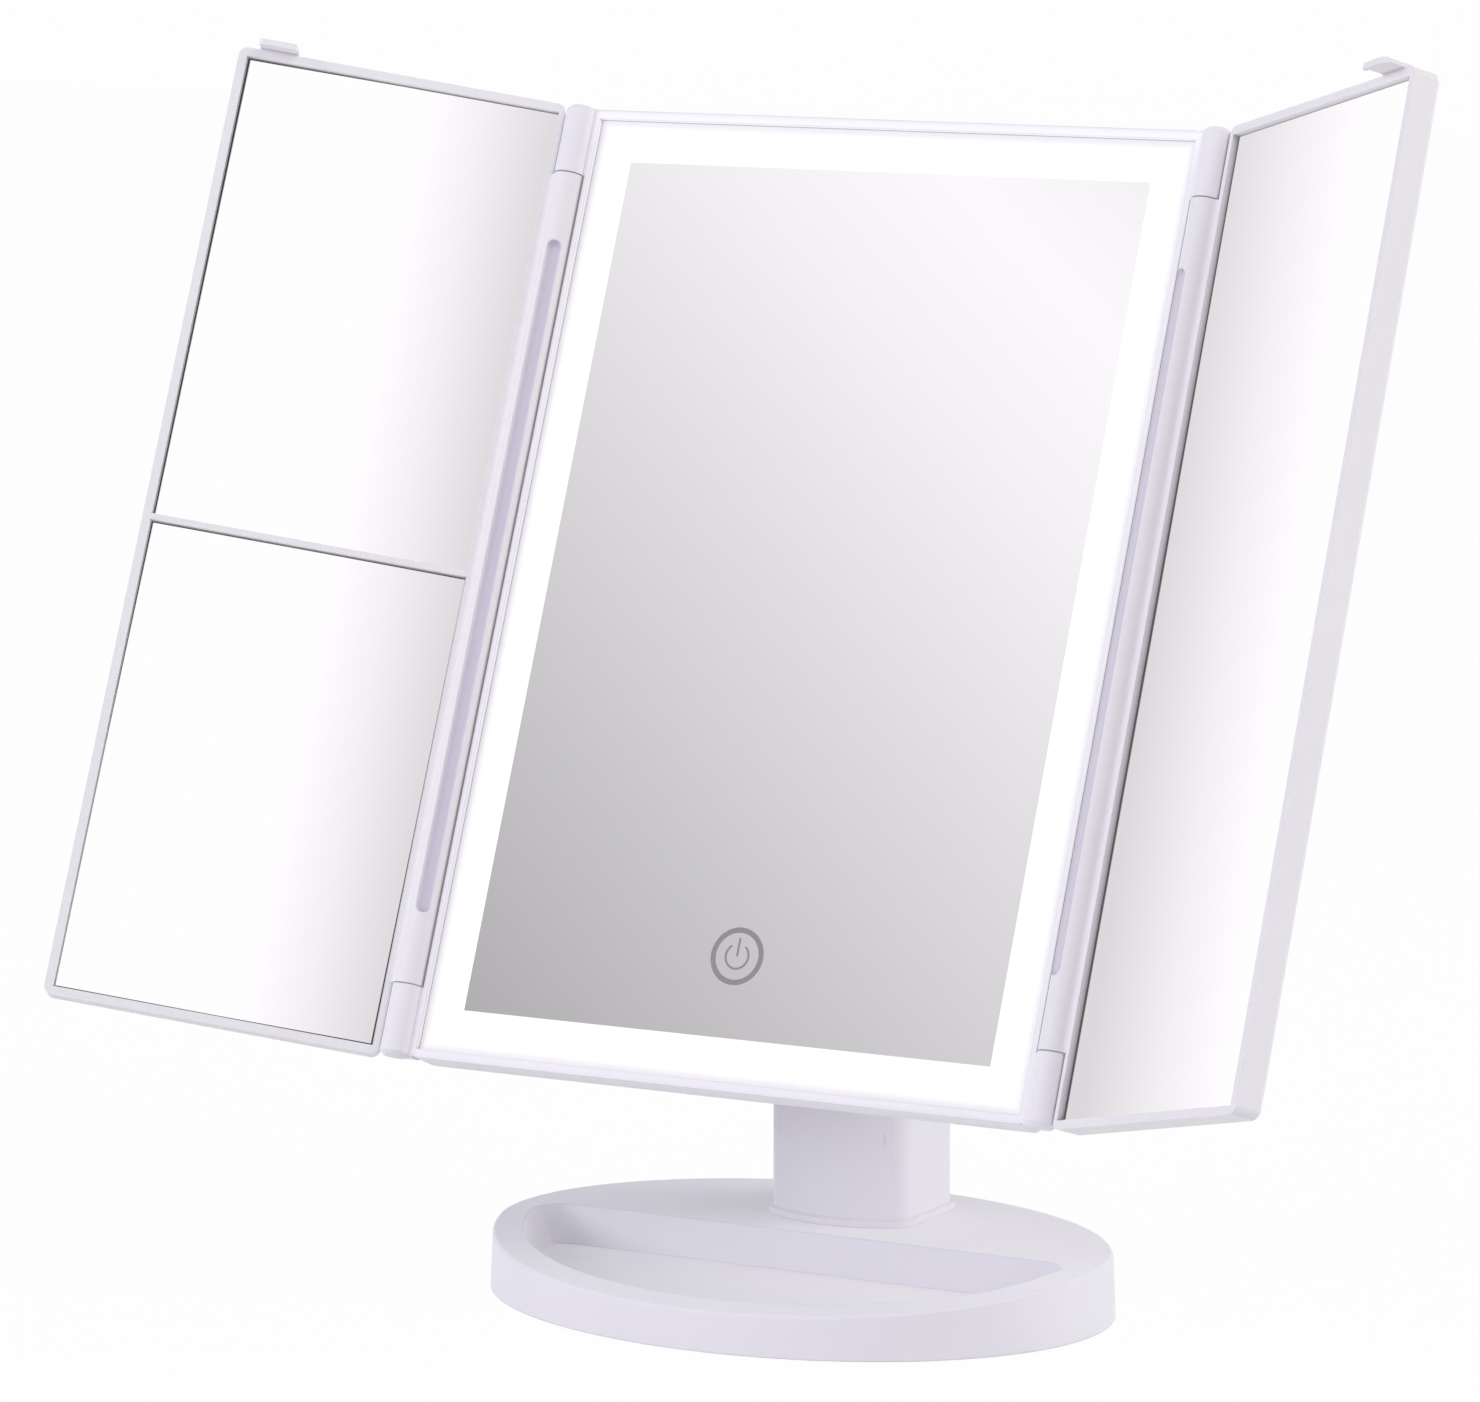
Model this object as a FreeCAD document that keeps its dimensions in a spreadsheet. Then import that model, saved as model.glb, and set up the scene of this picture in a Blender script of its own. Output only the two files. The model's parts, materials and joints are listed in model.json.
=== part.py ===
import FreeCAD, Part
import math
import os
import Sketcher

# Trifold vanity mirror. Millimetres, +Z up, the front of the mirror faces -Y.
# Origin: centre of the oval base, on the surface that it stands on.
#
# The centre panel and the wings are drawn upright and then placed. A panel piece is drawn
# with the rim of the centre frame in the plane Y = 0, the middle of the panel at the origin
# and +Y towards its back. A wing piece is drawn with its hinge axis on Z and the wing
# lying along +X (right) or -X (left), flat beside the panel.

DIMENSIONS = {
    # how far a cutting body runs past what it cuts, and how far a joined one runs in
    "over_cut": 1.0,
    "root_overlap": 0.2,
    # base
    "base_length": 158.0,
    "base_depth": 119.0,
    "base_height": 15.4,
    "base_front_height": 9.8,
    "base_slope_start": 8.0,
    "base_draft": 0.6,
    "base_edge": 1.3,
    "base_blend": 40.0,
    "base_lift": 0.6,
    "base_wall": 2.0,
    "tray_rim": 7.5,
    "tray_wall_y": 3.0,
    "tray_floor": 6.0,
    "tray_draft": 2.0,
    "tray_fillet": 1.6,
    "tray_corner": 8.0,
    "cover_thickness": 2.0,
    "cover_inset": 0.4,
    "pad_thickness": 1.0,
    "pad_inset": 7.0,
    "ballast_thickness": 4.0,
    "ballast_length": 112.0,
    "ballast_inset": 8.0,
    "ballast_gap": 8.0,
    "ballast_hole_gap": 0.6,
    "cover_screw_side": 23.0,
    "cover_screw_y": 14.0,
    "cover_screw_x": 30.0,
    "cover_screw_back": 15.5,
    # post
    "post_width": 37.0,
    "post_depth": 30.5,
    "post_front": 13.2,
    "post_bow": 32.0,
    "post_corner": 5.0,
    "post_back_corner": 1.6,
    "post_wall": 2.2,
    "post_floor": 3.0,
    "post_flare": 1.0,
    "post_flare_height": 1.8,
    "post_screw_x": 10.0,
    "post_screw_front": 10.5,
    "post_screw_back": 19.5,
    # tilt hinge
    "tilt": 22.4,
    "tilt_height": 158.6,
    "tilt_reach": 30.1,
    "bolt_radius": 2.5,
    "bolt_clearance": 0.05,
    "bolt_head_radius": 4.4,
    "bolt_head_height": 2.8,
    "nut_width": 8.0,
    "nut_height": 3.6,
    "bolt_recess_radius": 5.2,
    "bolt_recess_depth": 5.6,
    "bolt_tail": 0.6,
    "nut_fit": 0.02,
    "cap_thickness": 1.4,
    "fit_gap": 0.15,
    "lug_width": 16.0,
    "lug_radius": 9.0,
    "lug_gap": 0.6,
    "washer_thickness": 0.8,
    "washer_radius": 7.0,
    "flange_width": 34.0,
    "flange_height": 42.0,
    "flange_thickness": 2.2,
    "flange_corner": 6.0,
    # centre panel
    "hinge_spacing": 172.4,
    "panel_height": 239.2,
    "panel_frame_depth": 7.0,
    "panel_depth": 11.0,
    "panel_wall": 1.5,
    "rim_end": 2.2,
    "rim_side": 1.35,
    "panel_corner": 1.6,
    "panel_back_edge": 1.5,
    "window_recess": 1.2,
    "diffuser_thickness": 3.0,
    "pane_gap": 0.2,
    "border_side": 10.3,
    "border_end": 10.65,
    "glass_thickness": 1.8,
    "ledge_width": 3.0,
    "ledge_thickness": 1.2,
    "rear_floor": 1.6,
    "led_board_width": 6.0,
    "led_board_thickness": 1.2,
    "led_size": 3.0,
    "led_height": 0.8,
    "led_margin": 12.0,
    "touch_drop": 87.1,
    "touch_radius": 8.0,
    "touch_thickness": 0.5,
    "control_width": 44.0,
    "control_height": 26.0,
    "frame_boss_radius": 3.0,
    "frame_boss_inset": 4.0,
    "mirror_fit": 0.05,
    "chip_size": 7.0,
    "chip_height": 1.4,
    "chip_drop": 3.0,
    "chip_place": 0.3,
    "coil_radius": 3.0,
    "coil_height": 2.0,
    "coil_place": 0.6,
    # knuckles and pins
    "knuckle_radius": 3.7,
    "knuckle_gap": 0.55,
    "knuckle_seam": 0.3,
    "knuckle_split": 102.4,
    "knuckle_top": 119.95,
    "knuckle_bevel": 1.0,
    "knuckle_bevel_angle": 45.0,
    "web_overlap": 0.5,
    "pin_radius": 1.0,
    "pin_fit": 0.05,
    "pin_grip": 12.0,
    "pin_end_play": 0.2,
    # wings
    "wing_height": 240.4,
    "wing_meeting_gap": 0.4,
    "wing_thickness": 7.2,
    "wing_set": 0.9,
    "wing_hinge_clearance": 0.3,
    "wing_rim": 2.1,
    "wing_inner_rim": 1.6,
    "barrel_blend": 1.2,
    "wing_corner": 2.2,
    "wing_back_edge": 1.1,
    "wing_back_wall": 1.6,
    "pane_recess": 1.5,
    "pane_thickness": 1.8,
    "pane_fit": 0.3,
    "divider_width": 1.45,
    "divider_z": -0.35,
    "tape_margin": 9.0,
    "left_fold": 27.2,
    "right_fold": 36.4,
    "groove_half_length": 84.9,
    "groove_width": 3.8,
    "groove_depth": 1.5,
    "groove_round": 0.8,
    "groove_end_flat": 0.1,
    "hook_start": 71.5,
    "hook_width": 9.5,
    "hook_rise": 1.3,
    "hook_plate": 0.9,
    "hook_foot": 2.1,
    "hook_reach": 5.7,
    "hook_lip": 1.3,
    "hook_lip_drop": 0.5,
    "hook_root": 1.0,
    "hook_corner": 1.0,
    # battery bay, door, cells
    "cell_radius": 5.25,
    "cell_length": 44.5,
    "cell_gap": 0.25,
    "pole_radius": 1.9,
    "pole_height": 0.8,
    "tray_shell": 1.2,
    "tray_rib_x": 6.0,
    "tray_rib_width": 1.6,
    "bay_top_gap": 1.2,
    "contact_space": 2.6,
    "contact_thickness": 0.4,
    "contact_height": 8.0,
    "contact_margin": 0.6,
    "contact_play": 0.05,
    "spring_radius": 3.6,
    "dimple_radius": 2.2,
    "door_width": 27.0,
    "door_gap": 0.25,
    "door_latch_width": 9.0,
    "door_thumb_drop": 9.0,
    "door_thumb_depth": 0.8,
    "door_grip_drop": 20.0,
    "door_grip_pitch": 2.6,
    "door_grip_width": 1.2,
    "door_grip_depth": 0.6,
    "rear_cover_thickness": 2.2,
    "rear_cover_gap": 0.15,
    "rear_screw_x": 11.0,
    # power inlet and switch
    "socket_width": 8.0,
    "socket_height": 3.0,
    "socket_depth": 5.6,
    "socket_z": 23.0,
    "socket_x": 7.0,
    "socket_shell": 0.35,
    "socket_set": 0.3,
    "socket_play": 0.2,
    "tongue_set": 0.8,
    "tongue_rise": 0.1,
    "tongue_thickness": 0.6,
    "seat_play": 0.1,
    "switch_width": 9.0,
    "switch_height": 4.0,
    "switch_depth": 4.0,
    "switch_x": -6.5,
    "switch_travel": 2.5,
    "knob_width": 2.2,
    "knob_height": 2.0,
    "knob_depth": 1.4,
    "knob_proud": 0.8,
    "knob_play": 0.2,
    "knob_opening": 0.3,
    "power_board_width": 28.0,
    "power_board_height": 6.4,
    "power_board_thickness": 1.2,
    # self-tapping screws
    "screw_radius": 1.4,
    "screw_head_radius": 2.7,
    "screw_head_height": 1.5,
    "screw_length": 8.0,
    "screw_tip_gap": 0.4,
    "screw_end_play": 0.5,
    "screw_fit": 0.05,
    "boss_radius": 3.4,
    "boss_root": 1.0,
}

LEDS_PER_SIDE = 7
LEDS_PER_END = 4

doc = FreeCAD.newDocument("TrifoldMirror")
sheet = doc.addObject("Spreadsheet::Sheet", "dims")
for row, (alias, number) in enumerate(DIMENSIONS.items(), start=1):
    sheet.set("A%d" % row, alias)
    sheet.set("B%d" % row, str(number))
    sheet.setAlias("B%d" % row, alias)
doc.recompute()


class Size:
    """A size with the spreadsheet expression that it comes from."""

    def __init__(self, number, text):
        self.number = float(number)
        self.text = text

    def combine(self, other, sign, swap=False):
        if not isinstance(other, Size):
            other = Size(other, repr(float(other)))
        left, right = (other, self) if swap else (self, other)
        operations = {
            "+": left.number + right.number,
            "-": left.number - right.number,
            "*": left.number * right.number,
            "/": left.number / right.number if right.number else 0.0,
        }
        return Size(operations[sign], "(%s %s %s)" % (left.text, sign, right.text))

    def __add__(self, other):
        return self.combine(other, "+")

    def __radd__(self, other):
        return self.combine(other, "+", swap=True)

    def __sub__(self, other):
        return self.combine(other, "-")

    def __rsub__(self, other):
        return self.combine(other, "-", swap=True)

    def __mul__(self, other):
        return self.combine(other, "*")

    def __rmul__(self, other):
        return self.combine(other, "*", swap=True)

    def __truediv__(self, other):
        return self.combine(other, "/")

    def __neg__(self):
        return self.combine(-1.0, "*")


class Dims:
    """Reads a driving dimension from the sheet by its alias."""

    def __getattr__(self, alias):
        return Size(sheet.get(alias), "dims." + alias)


d = Dims()
ZERO = Size(0.0, "0")


def size(number):
    return number if isinstance(number, Size) else Size(number, repr(float(number)))


def root(inner):
    return Size(math.sqrt(inner.number), "sqrt(%s)" % inner.text)


def bind(thing, path, value):
    thing.setExpression(path, size(value).text)


# ---------------------------------------------------------------- sketch and body helpers

PLANES = {"top": "XY_Plane", "front": "XZ_Plane", "side": "YZ_Plane"}


def new_body(label):
    body = doc.addObject("PartDesign::Body", label)
    body.Label = label
    return body


def sketch_on(body, view, offset=ZERO):
    """A sketch on an origin plane. Front sketches look along +Y: a positive offset is
    towards -Y. Top sketches are raised by the offset, side sketches moved along +X."""
    sketch = body.newObject("Sketcher::SketchObject", body.Name + "_sketch")
    plane = [item for item in body.Origin.OriginFeatures if item.Role == PLANES[view]][0]
    sketch.AttachmentSupport = [(plane, "")]
    sketch.MapMode = "FlatFace"
    sketch.AttachmentOffset = FreeCAD.Placement(
        FreeCAD.Vector(0, 0, size(offset).number), FreeCAD.Rotation()
    )
    bind(sketch, "AttachmentOffset.Base.z", offset)
    return sketch


def pin_point(sketch, geometry, vertex, x, y):
    """Holds one point of a sketch at a place that follows the sheet."""
    for direction, value in (("DistanceX", x), ("DistanceY", y)):
        value = size(value)
        number = sketch.addConstraint(
            Sketcher.Constraint(direction, -1, 1, geometry, vertex, value.number)
        )
        bind(sketch, "Constraints[%d]" % number, value)


def outline(sketch, corners, arcs=None):
    """A closed outline through corners. arcs maps a side's number to (radius, bulge):
    the side from that corner to the next is an arc, and bulge is +1 where its middle lies
    to the right of the way round, -1 where it lies to the left."""
    arcs = arcs or {}
    points = [FreeCAD.Vector(size(x).number, size(y).number, 0) for x, y in corners]
    sides = []
    for index, start in enumerate(points):
        end = points[(index + 1) % len(points)]
        if index not in arcs:
            sides.append(sketch.addGeometry(Part.LineSegment(start, end), False))
            continue
        radius, bulge = arcs[index]
        chord = end.sub(start)
        rise = math.sqrt(max(size(radius).number ** 2 - (chord.Length / 2) ** 2, 0.0))
        across = FreeCAD.Vector(chord.y, -chord.x, 0).normalize()
        middle = start.add(chord.multiply(0.5))
        centre = middle.sub(across.multiply(rise * bulge))
        towards = middle.sub(centre)
        if towards.Length < 1e-9:
            towards = FreeCAD.Vector(end.y - start.y, start.x - end.x, 0).multiply(bulge)
        crown = centre.add(towards.normalize().multiply(size(radius).number))
        sides.append(sketch.addGeometry(Part.Arc(start, crown, end), False))
    turned = {}
    for index in arcs:
        curve = sketch.Geometry[sides[index]]
        turned[index] = curve.StartPoint.distanceToPoint(points[index]) > 1e-6
    for index, side in enumerate(sides):
        after = (index + 1) % len(sides)
        here = 1 if turned.get(index) else 2
        there = 2 if turned.get(after) else 1
        sketch.addConstraint(Sketcher.Constraint("Coincident", side, here, sides[after], there))
    for index, (x, y) in enumerate(corners):
        pin_point(sketch, sides[index], 2 if turned.get(index) else 1, x, y)
    for index, (radius, bulge) in arcs.items():
        radius = size(radius)
        number = sketch.addConstraint(Sketcher.Constraint("Radius", sides[index], radius.number))
        bind(sketch, "Constraints[%d]" % number, radius)
    return sketch


def rectangle(sketch, x0, x1, y0, y1):
    return outline(sketch, [(x0, y0), (x1, y0), (x1, y1), (x0, y1)])


def circle(sketch, x, y, radius):
    x, y, radius = size(x), size(y), size(radius)
    ring = sketch.addGeometry(
        Part.Circle(FreeCAD.Vector(x.number, y.number, 0), FreeCAD.Vector(0, 0, 1), radius.number),
        False,
    )
    pin_point(sketch, ring, 3, x, y)
    number = sketch.addConstraint(Sketcher.Constraint("Radius", ring, radius.number))
    bind(sketch, "Constraints[%d]" % number, radius)
    return sketch


def pad(body, sketch, length, midplane=False):
    feature = body.newObject("PartDesign::Pad", body.Name + "_pad")
    feature.Profile = sketch
    feature.Length = size(length).number
    bind(feature, "Length", length)
    feature.Midplane = midplane
    doc.recompute()
    return feature


def pocket(body, sketch, length, towards_normal=False, midplane=False):
    """Cuts against the sketch's normal, or along it where towards_normal says so."""
    before = body.Shape.Volume
    feature = body.newObject("PartDesign::Pocket", body.Name + "_pocket")
    feature.Profile = sketch
    feature.Length = size(length).number
    bind(feature, "Length", length)
    feature.Midplane = midplane
    feature.Reversed = towards_normal
    doc.recompute()
    if not body.Shape.Volume < before - 1e-6:
        raise RuntimeError("a pocket of %s cuts nothing" % body.Label)
    return feature


def edge_names(shape, wanted):
    return ["Edge%d" % number for number, edge in enumerate(shape.Edges, 1) if wanted(edge)]


def round_edges(body, wanted, radius, kind="Fillet"):
    """Fillets or chamfers the edges that wanted() picks from the body as it is now."""
    tip = body.Tip
    names = edge_names(tip.Shape, wanted)
    if not names:
        raise RuntimeError("no edges to round on " + body.Label)
    feature = body.newObject("PartDesign::" + kind, body.Name + "_" + kind.lower())
    feature.Base = (tip, names)
    length = "Radius" if kind == "Fillet" else "Size"
    setattr(feature, length, size(radius).number)
    bind(feature, length, radius)
    doc.recompute()
    if "Invalid" in feature.State or "Error" in feature.State:
        raise RuntimeError("the %s of %s fails" % (kind.lower(), body.Label))
    return feature


def near(a, b):
    return abs(a - b) < 1e-4


def flat_at(edge, axis, place):
    """True for an edge that lies wholly at one coordinate of an axis."""
    box = edge.BoundBox
    low, high = {"x": (box.XMin, box.XMax), "y": (box.YMin, box.YMax), "z": (box.ZMin, box.ZMax)}[axis]
    return near(low, place) and near(high, place)


def runs_along(edge, axis):
    """True for a straight edge parallel to an axis."""
    if len(edge.Vertexes) < 2:
        return False
    span = edge.Vertexes[1].Point.sub(edge.Vertexes[0].Point)
    return near(abs(getattr(span, axis)), edge.Length)


# ---------------------------------------------------------------- Part-workbench helpers

def place(thing, x=ZERO, y=ZERO, z=ZERO, rotation=None):
    thing.Placement = FreeCAD.Placement(
        FreeCAD.Vector(size(x).number, size(y).number, size(z).number),
        rotation or FreeCAD.Rotation(),
    )
    for axis, value in (("x", x), ("y", y), ("z", z)):
        bind(thing, "Placement.Base." + axis, value)
    return thing


def box(name, x0, x1, y0, y1, z0, z1):
    item = doc.addObject("Part::Box", name)
    for prop, low, high in (("Length", x0, x1), ("Width", y0, y1), ("Height", z0, z1)):
        bind(item, prop, size(high) - size(low))
    return place(item, x0, y0, z0)


TURNS = {
    "z": FreeCAD.Rotation(),
    "-z": FreeCAD.Rotation(FreeCAD.Vector(1, 0, 0), 180),
    "y": FreeCAD.Rotation(FreeCAD.Vector(1, 0, 0), -90),
    "-y": FreeCAD.Rotation(FreeCAD.Vector(1, 0, 0), 90),
    "x": FreeCAD.Rotation(FreeCAD.Vector(0, 1, 0), 90),
    "-x": FreeCAD.Rotation(FreeCAD.Vector(0, 1, 0), -90),
}


def cylinder(name, radius, length, x, y, z, axis="z"):
    item = doc.addObject("Part::Cylinder", name)
    bind(item, "Radius", radius)
    bind(item, "Height", length)
    return place(item, x, y, z, TURNS[axis])


def cone(name, radius, end_radius, length, x, y, z, axis="z"):
    item = doc.addObject("Part::Cone", name)
    bind(item, "Radius1", radius)
    bind(item, "Radius2", end_radius)
    bind(item, "Height", length)
    return place(item, x, y, z, TURNS[axis])


AXIS_STEPS = {
    "z": (0, 0, 1),
    "-z": (0, 0, -1),
    "y": (0, 1, 0),
    "-y": (0, -1, 0),
    "x": (1, 0, 0),
    "-x": (-1, 0, 0),
}


def turned(name, sections, x, y, z, axis, sides):
    """A small turned piece in narrow flats: sections lists (radius, distance along axis)."""
    step_x, step_y, step_z = AXIS_STEPS[axis]
    rings = []
    for number, (radius, along) in enumerate(sections):
        flats = doc.addObject("Part::RegularPolygon", "%s_section_%d" % (name, number))
        flats.Polygon = sides
        bind(flats, "Circumradius", radius)
        along = size(along)
        place(flats, x + step_x * along, y + step_y * along, z + step_z * along, TURNS[axis])
        rings.append(flats)
    item = doc.addObject("Part::Loft", name)
    item.Sections = rings
    item.Solid = True
    item.Ruled = True
    return item


def cut(name, base, tool):
    item = doc.addObject("Part::Cut", name)
    item.Base = base
    item.Tool = tool
    item.Refine = False
    return item


def common(name, base, tool):
    item = doc.addObject("Part::Common", name)
    item.Base = base
    item.Tool = tool
    item.Refine = False
    return item


def fuse(name, *shapes):
    item = doc.addObject("Part::MultiFuse", name)
    item.Shapes = list(shapes)
    item.Refine = True
    return item


def group(name, pieces):
    """Separate solids that share one node."""
    item = doc.addObject("Part::Compound", name)
    item.Links = list(pieces)
    return item


def ring(name, length, depth, z, slope=None):
    """An ellipse at a height, or its image on a plane that rises towards +Y with a slope."""
    item = doc.addObject("Part::Ellipse", name)
    bind(item, "MajorRadius", size(length) / 2)
    if slope is None:
        bind(item, "MinorRadius", size(depth) / 2)
        return place(item, ZERO, ZERO, z)
    bind(item, "MinorRadius", size(depth) / 2 * root(1 + slope * slope))
    lean = FreeCAD.Rotation(FreeCAD.Vector(1, 0, 0), math.degrees(math.atan(slope.number)))
    return place(item, ZERO, ZERO, z, lean)


def oval(name, length, depth, profile, slope=None):
    """A solid through ellipses. The profile lists (inset, height) from the bottom up."""
    item = doc.addObject("Part::Loft", name)
    item.Sections = [
        ring(
            "%s_ring_%d" % (name, number),
            size(length) - 2 * size(inset),
            size(depth) - 2 * size(inset),
            z,
            slope,
        )
        for number, (inset, z) in enumerate(profile)
    ]
    item.Solid = True
    item.Ruled = True
    return item


def oval_plate(name, length, depth, z0, z1):
    """An elliptical plate with upright sides."""
    item = doc.addObject("Part::Extrusion", name)
    item.Base = ring(name + "_ring", length, depth, z0)
    item.Dir = FreeCAD.Vector(0, 0, 1)
    item.Solid = True
    bind(item, "LengthFwd", size(z1) - size(z0))
    return item


nodes = {}


def node(name, thing, placement=None):
    """Registers a finished sub-part under the name of its file."""
    doc.recompute()
    thing.Label = name
    if placement is not None:
        if thing.TypeId != "PartDesign::Body":
            carrier = doc.addObject("Part::Compound", name + "_placed")
            carrier.Links = [thing]
            thing.Label = name + "_drawn"
            carrier.Label = name
            thing = carrier
        thing.Placement = placement
    nodes[name] = thing
    return thing


SCREW_SIDES = 16
CELL_SIDES = 32


def screw(name, x, y, z, axis, length=d.screw_length):
    """A countersunk self-tapping screw. The place is the middle of its head's flat top,
    and axis is the way that it drives."""
    profile = [
        (d.screw_head_radius, ZERO),
        (d.screw_radius, d.screw_head_height),
        (d.screw_radius, length),
    ]
    return turned(name, profile, x, y, z, axis, SCREW_SIDES)


# ---------------------------------------------------------------- places

FRONT_TURN = FreeCAD.Rotation(FreeCAD.Vector(1, 0, 0), -d.tilt.number)
tilt_y = d.post_front + d.post_depth / 2
tilt_centre = FreeCAD.Vector(0, tilt_y.number, d.tilt_height.number)
panel_centre = tilt_centre.sub(FRONT_TURN.multVec(FreeCAD.Vector(0, d.tilt_reach.number, 0)))
PANEL = FreeCAD.Placement(panel_centre, FRONT_TURN)


def wing_placement(side, fold):
    """side is -1 for the left wing and +1 for the right one."""
    hinge = FreeCAD.Vector(side * d.hinge_spacing.number / 2, 0, 0)
    turn = FreeCAD.Rotation(FreeCAD.Vector(0, 0, 1), -side * fold.number)
    return PANEL.multiply(FreeCAD.Placement(hinge, turn))


LEFT = wing_placement(-1, d.left_fold)
RIGHT = wing_placement(1, d.right_fold)

# ---------------------------------------------------------------- base

base_top = d.base_lift + d.base_height
base_front_top = d.base_lift + d.base_front_height
cover_low = d.base_lift + d.cover_inset
cover_high = cover_low + d.cover_thickness
tray_length = d.base_length - 2 * d.tray_rim
tray_depth = d.base_depth - 2 * d.tray_rim
post_back = d.post_front + d.post_depth
post_screw_places = [
    (side * d.post_screw_x, d.post_front + along)
    for along in (d.post_screw_front, d.post_screw_back)
    for side in (-1, 1)
]
cover_screw_places = [
    (side * x, y)
    for x, y in (
        (d.base_length / 2 - d.cover_screw_side, d.cover_screw_y),
        (d.cover_screw_x, d.base_depth / 2 - d.cover_screw_back),
    )
    for side in (-1, 1)
]


half_base = d.base_depth / 2
base_slope = (base_top - base_front_top) / (half_base - d.base_slope_start)
overhang = 2 * d.over_cut


def sloped_block(name, lower):
    """All that lies under the base's top: level behind, sloping down to the front rim,
    with an arc between the two. lower sinks the whole top."""
    body = new_body(name)
    shape = sketch_on(body, "side")
    front = -half_base - overhang
    back = half_base + overhang
    top = base_top - lower
    bend = -d.base_slope_start
    run = root(1 + base_slope * base_slope)
    reach = d.base_blend * (run - 1) / base_slope
    outline(
        shape,
        [
            (front, -overhang),
            (back, -overhang),
            (back, top),
            (bend + reach, top),
            (bend - reach / run, top - reach * base_slope / run),
            (front, top + base_slope * (front - bend)),
        ],
        {3: (d.base_blend, 1)},
    )
    pad(body, shape, d.base_length + 2 * overhang, midplane=True)
    return body


def rim_profile(start_inset):
    """The rounded rim as (inset, drop) steps, carried on past the wall and past the top."""
    edge = d.base_edge
    steps = []
    for angle in (30, 60):
        inset = start_inset + edge * (1 - math.cos(math.radians(angle)))
        drop = edge * (1 - math.sin(math.radians(angle)))
        steps.append((inset, drop))
    past = (2 * steps[1][0] - steps[0][0], 2 * steps[1][1] - steps[0][1] - edge * 0.1)
    return steps + [past]


def make_tray_limit(far):
    """What the tray may take of the base: all in front of its rear wall, whose corners
    are rounded."""
    body = new_body("tray_space_half")
    plan = sketch_on(body, "top", ZERO)
    rectangle(plan, -tray_length / 2, tray_length / 2, -far, d.tray_wall_y)
    pad(body, plan, far)
    rear = -d.tray_wall_y.number
    round_edges(
        body,
        lambda edge: runs_along(edge, "z") and near(edge.BoundBox.YMin, -rear),
        d.tray_corner,
    )
    return body


def make_base_shell():
    wall_line = [(ZERO, d.base_lift), (d.base_draft, base_top - d.base_edge)]
    level_rim = [(inset, base_top - drop) for inset, drop in rim_profile(d.base_draft)]
    wall = oval("base_wall_oval", d.base_length, d.base_depth, wall_line + level_rim)
    # the front rim is rounded by an oval whose rings lie parallel to the slope
    over = base_top + base_slope * d.base_slope_start
    outside = 0.5
    steep = d.base_edge + 4 * (outside + d.base_draft)
    sloped_rim = [
        (-outside, over - 3 * d.base_height),
        (-outside, over - steep),
    ]
    sloped_rim += [(inset, over - drop) for inset, drop in rim_profile(d.base_draft / 2)]
    rim = oval("base_rim_oval", d.base_length, d.base_depth, sloped_rim, base_slope)
    outer = common("base_outer", common("base_sloped", wall, sloped_block("base_slope", ZERO)), rim)
    inner = common(
        "base_inner",
        oval(
            "base_inner_oval",
            d.base_length,
            d.base_depth,
            [(d.base_wall, ZERO), (d.base_wall + d.base_draft, base_top)],
        ),
        sloped_block("base_inner_slope", d.base_wall),
    )
    # the tray's walls and floor and the screw bosses are what the hollow leaves standing
    far = d.base_length
    above = base_top + d.over_cut
    wall = 2 * d.base_wall
    tray_solid = common(
        "tray_solid",
        oval_plate(
            "tray_solid_oval",
            tray_length + wall,
            tray_depth + wall,
            d.tray_floor - d.base_wall,
            above,
        ),
        box("tray_solid_half", -far, far, -far, d.tray_wall_y + d.base_wall, ZERO, far),
    )
    bosses = [
        cylinder("cover_boss_%d" % number, d.boss_radius, far, x, y, cover_high)
        for number, (x, y) in enumerate(cover_screw_places)
    ]
    hollow = cut("base_hollow", inner, fuse("base_inside", tray_solid, *bosses))
    # walls with a draft, and a rounded foot
    bend = 1 - math.cos(math.radians(45))
    foot = d.tray_fillet
    tray_space = common(
        "tray_space",
        oval(
            "tray_space_oval",
            tray_length,
            tray_depth,
            [
                (d.tray_draft + foot, d.tray_floor),
                (d.tray_draft + foot * bend, d.tray_floor + foot * bend),
                (d.tray_draft, d.tray_floor + foot),
                (ZERO, above),
            ],
        ),
        make_tray_limit(far),
    )
    solid = cut("base_with_tray", cut("base_hollowed", outer, hollow), tray_space)
    tools = []
    for number, (x, y) in enumerate(post_screw_places):
        tools.append(
            cylinder("post_hole_%d" % number, d.screw_radius + d.screw_fit, base_top, x, y, cover_high)
        )
        tools.append(
            cone(
                "post_sink_%d" % number,
                d.screw_head_radius + d.screw_fit,
                d.screw_radius + d.screw_fit,
                d.screw_head_height,
                x,
                y,
                base_top - d.base_wall,
            )
        )
    for number, (x, y) in enumerate(cover_screw_places):
        tools.append(
            cylinder(
                "cover_pilot_%d" % number,
                d.screw_radius + d.screw_fit,
                d.screw_length + d.screw_end_play,
                x,
                y,
                cover_low,
            )
        )
    shell = cut("base_shell", solid, fuse("base_tools", *tools))
    return node("base_shell", shell)


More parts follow.
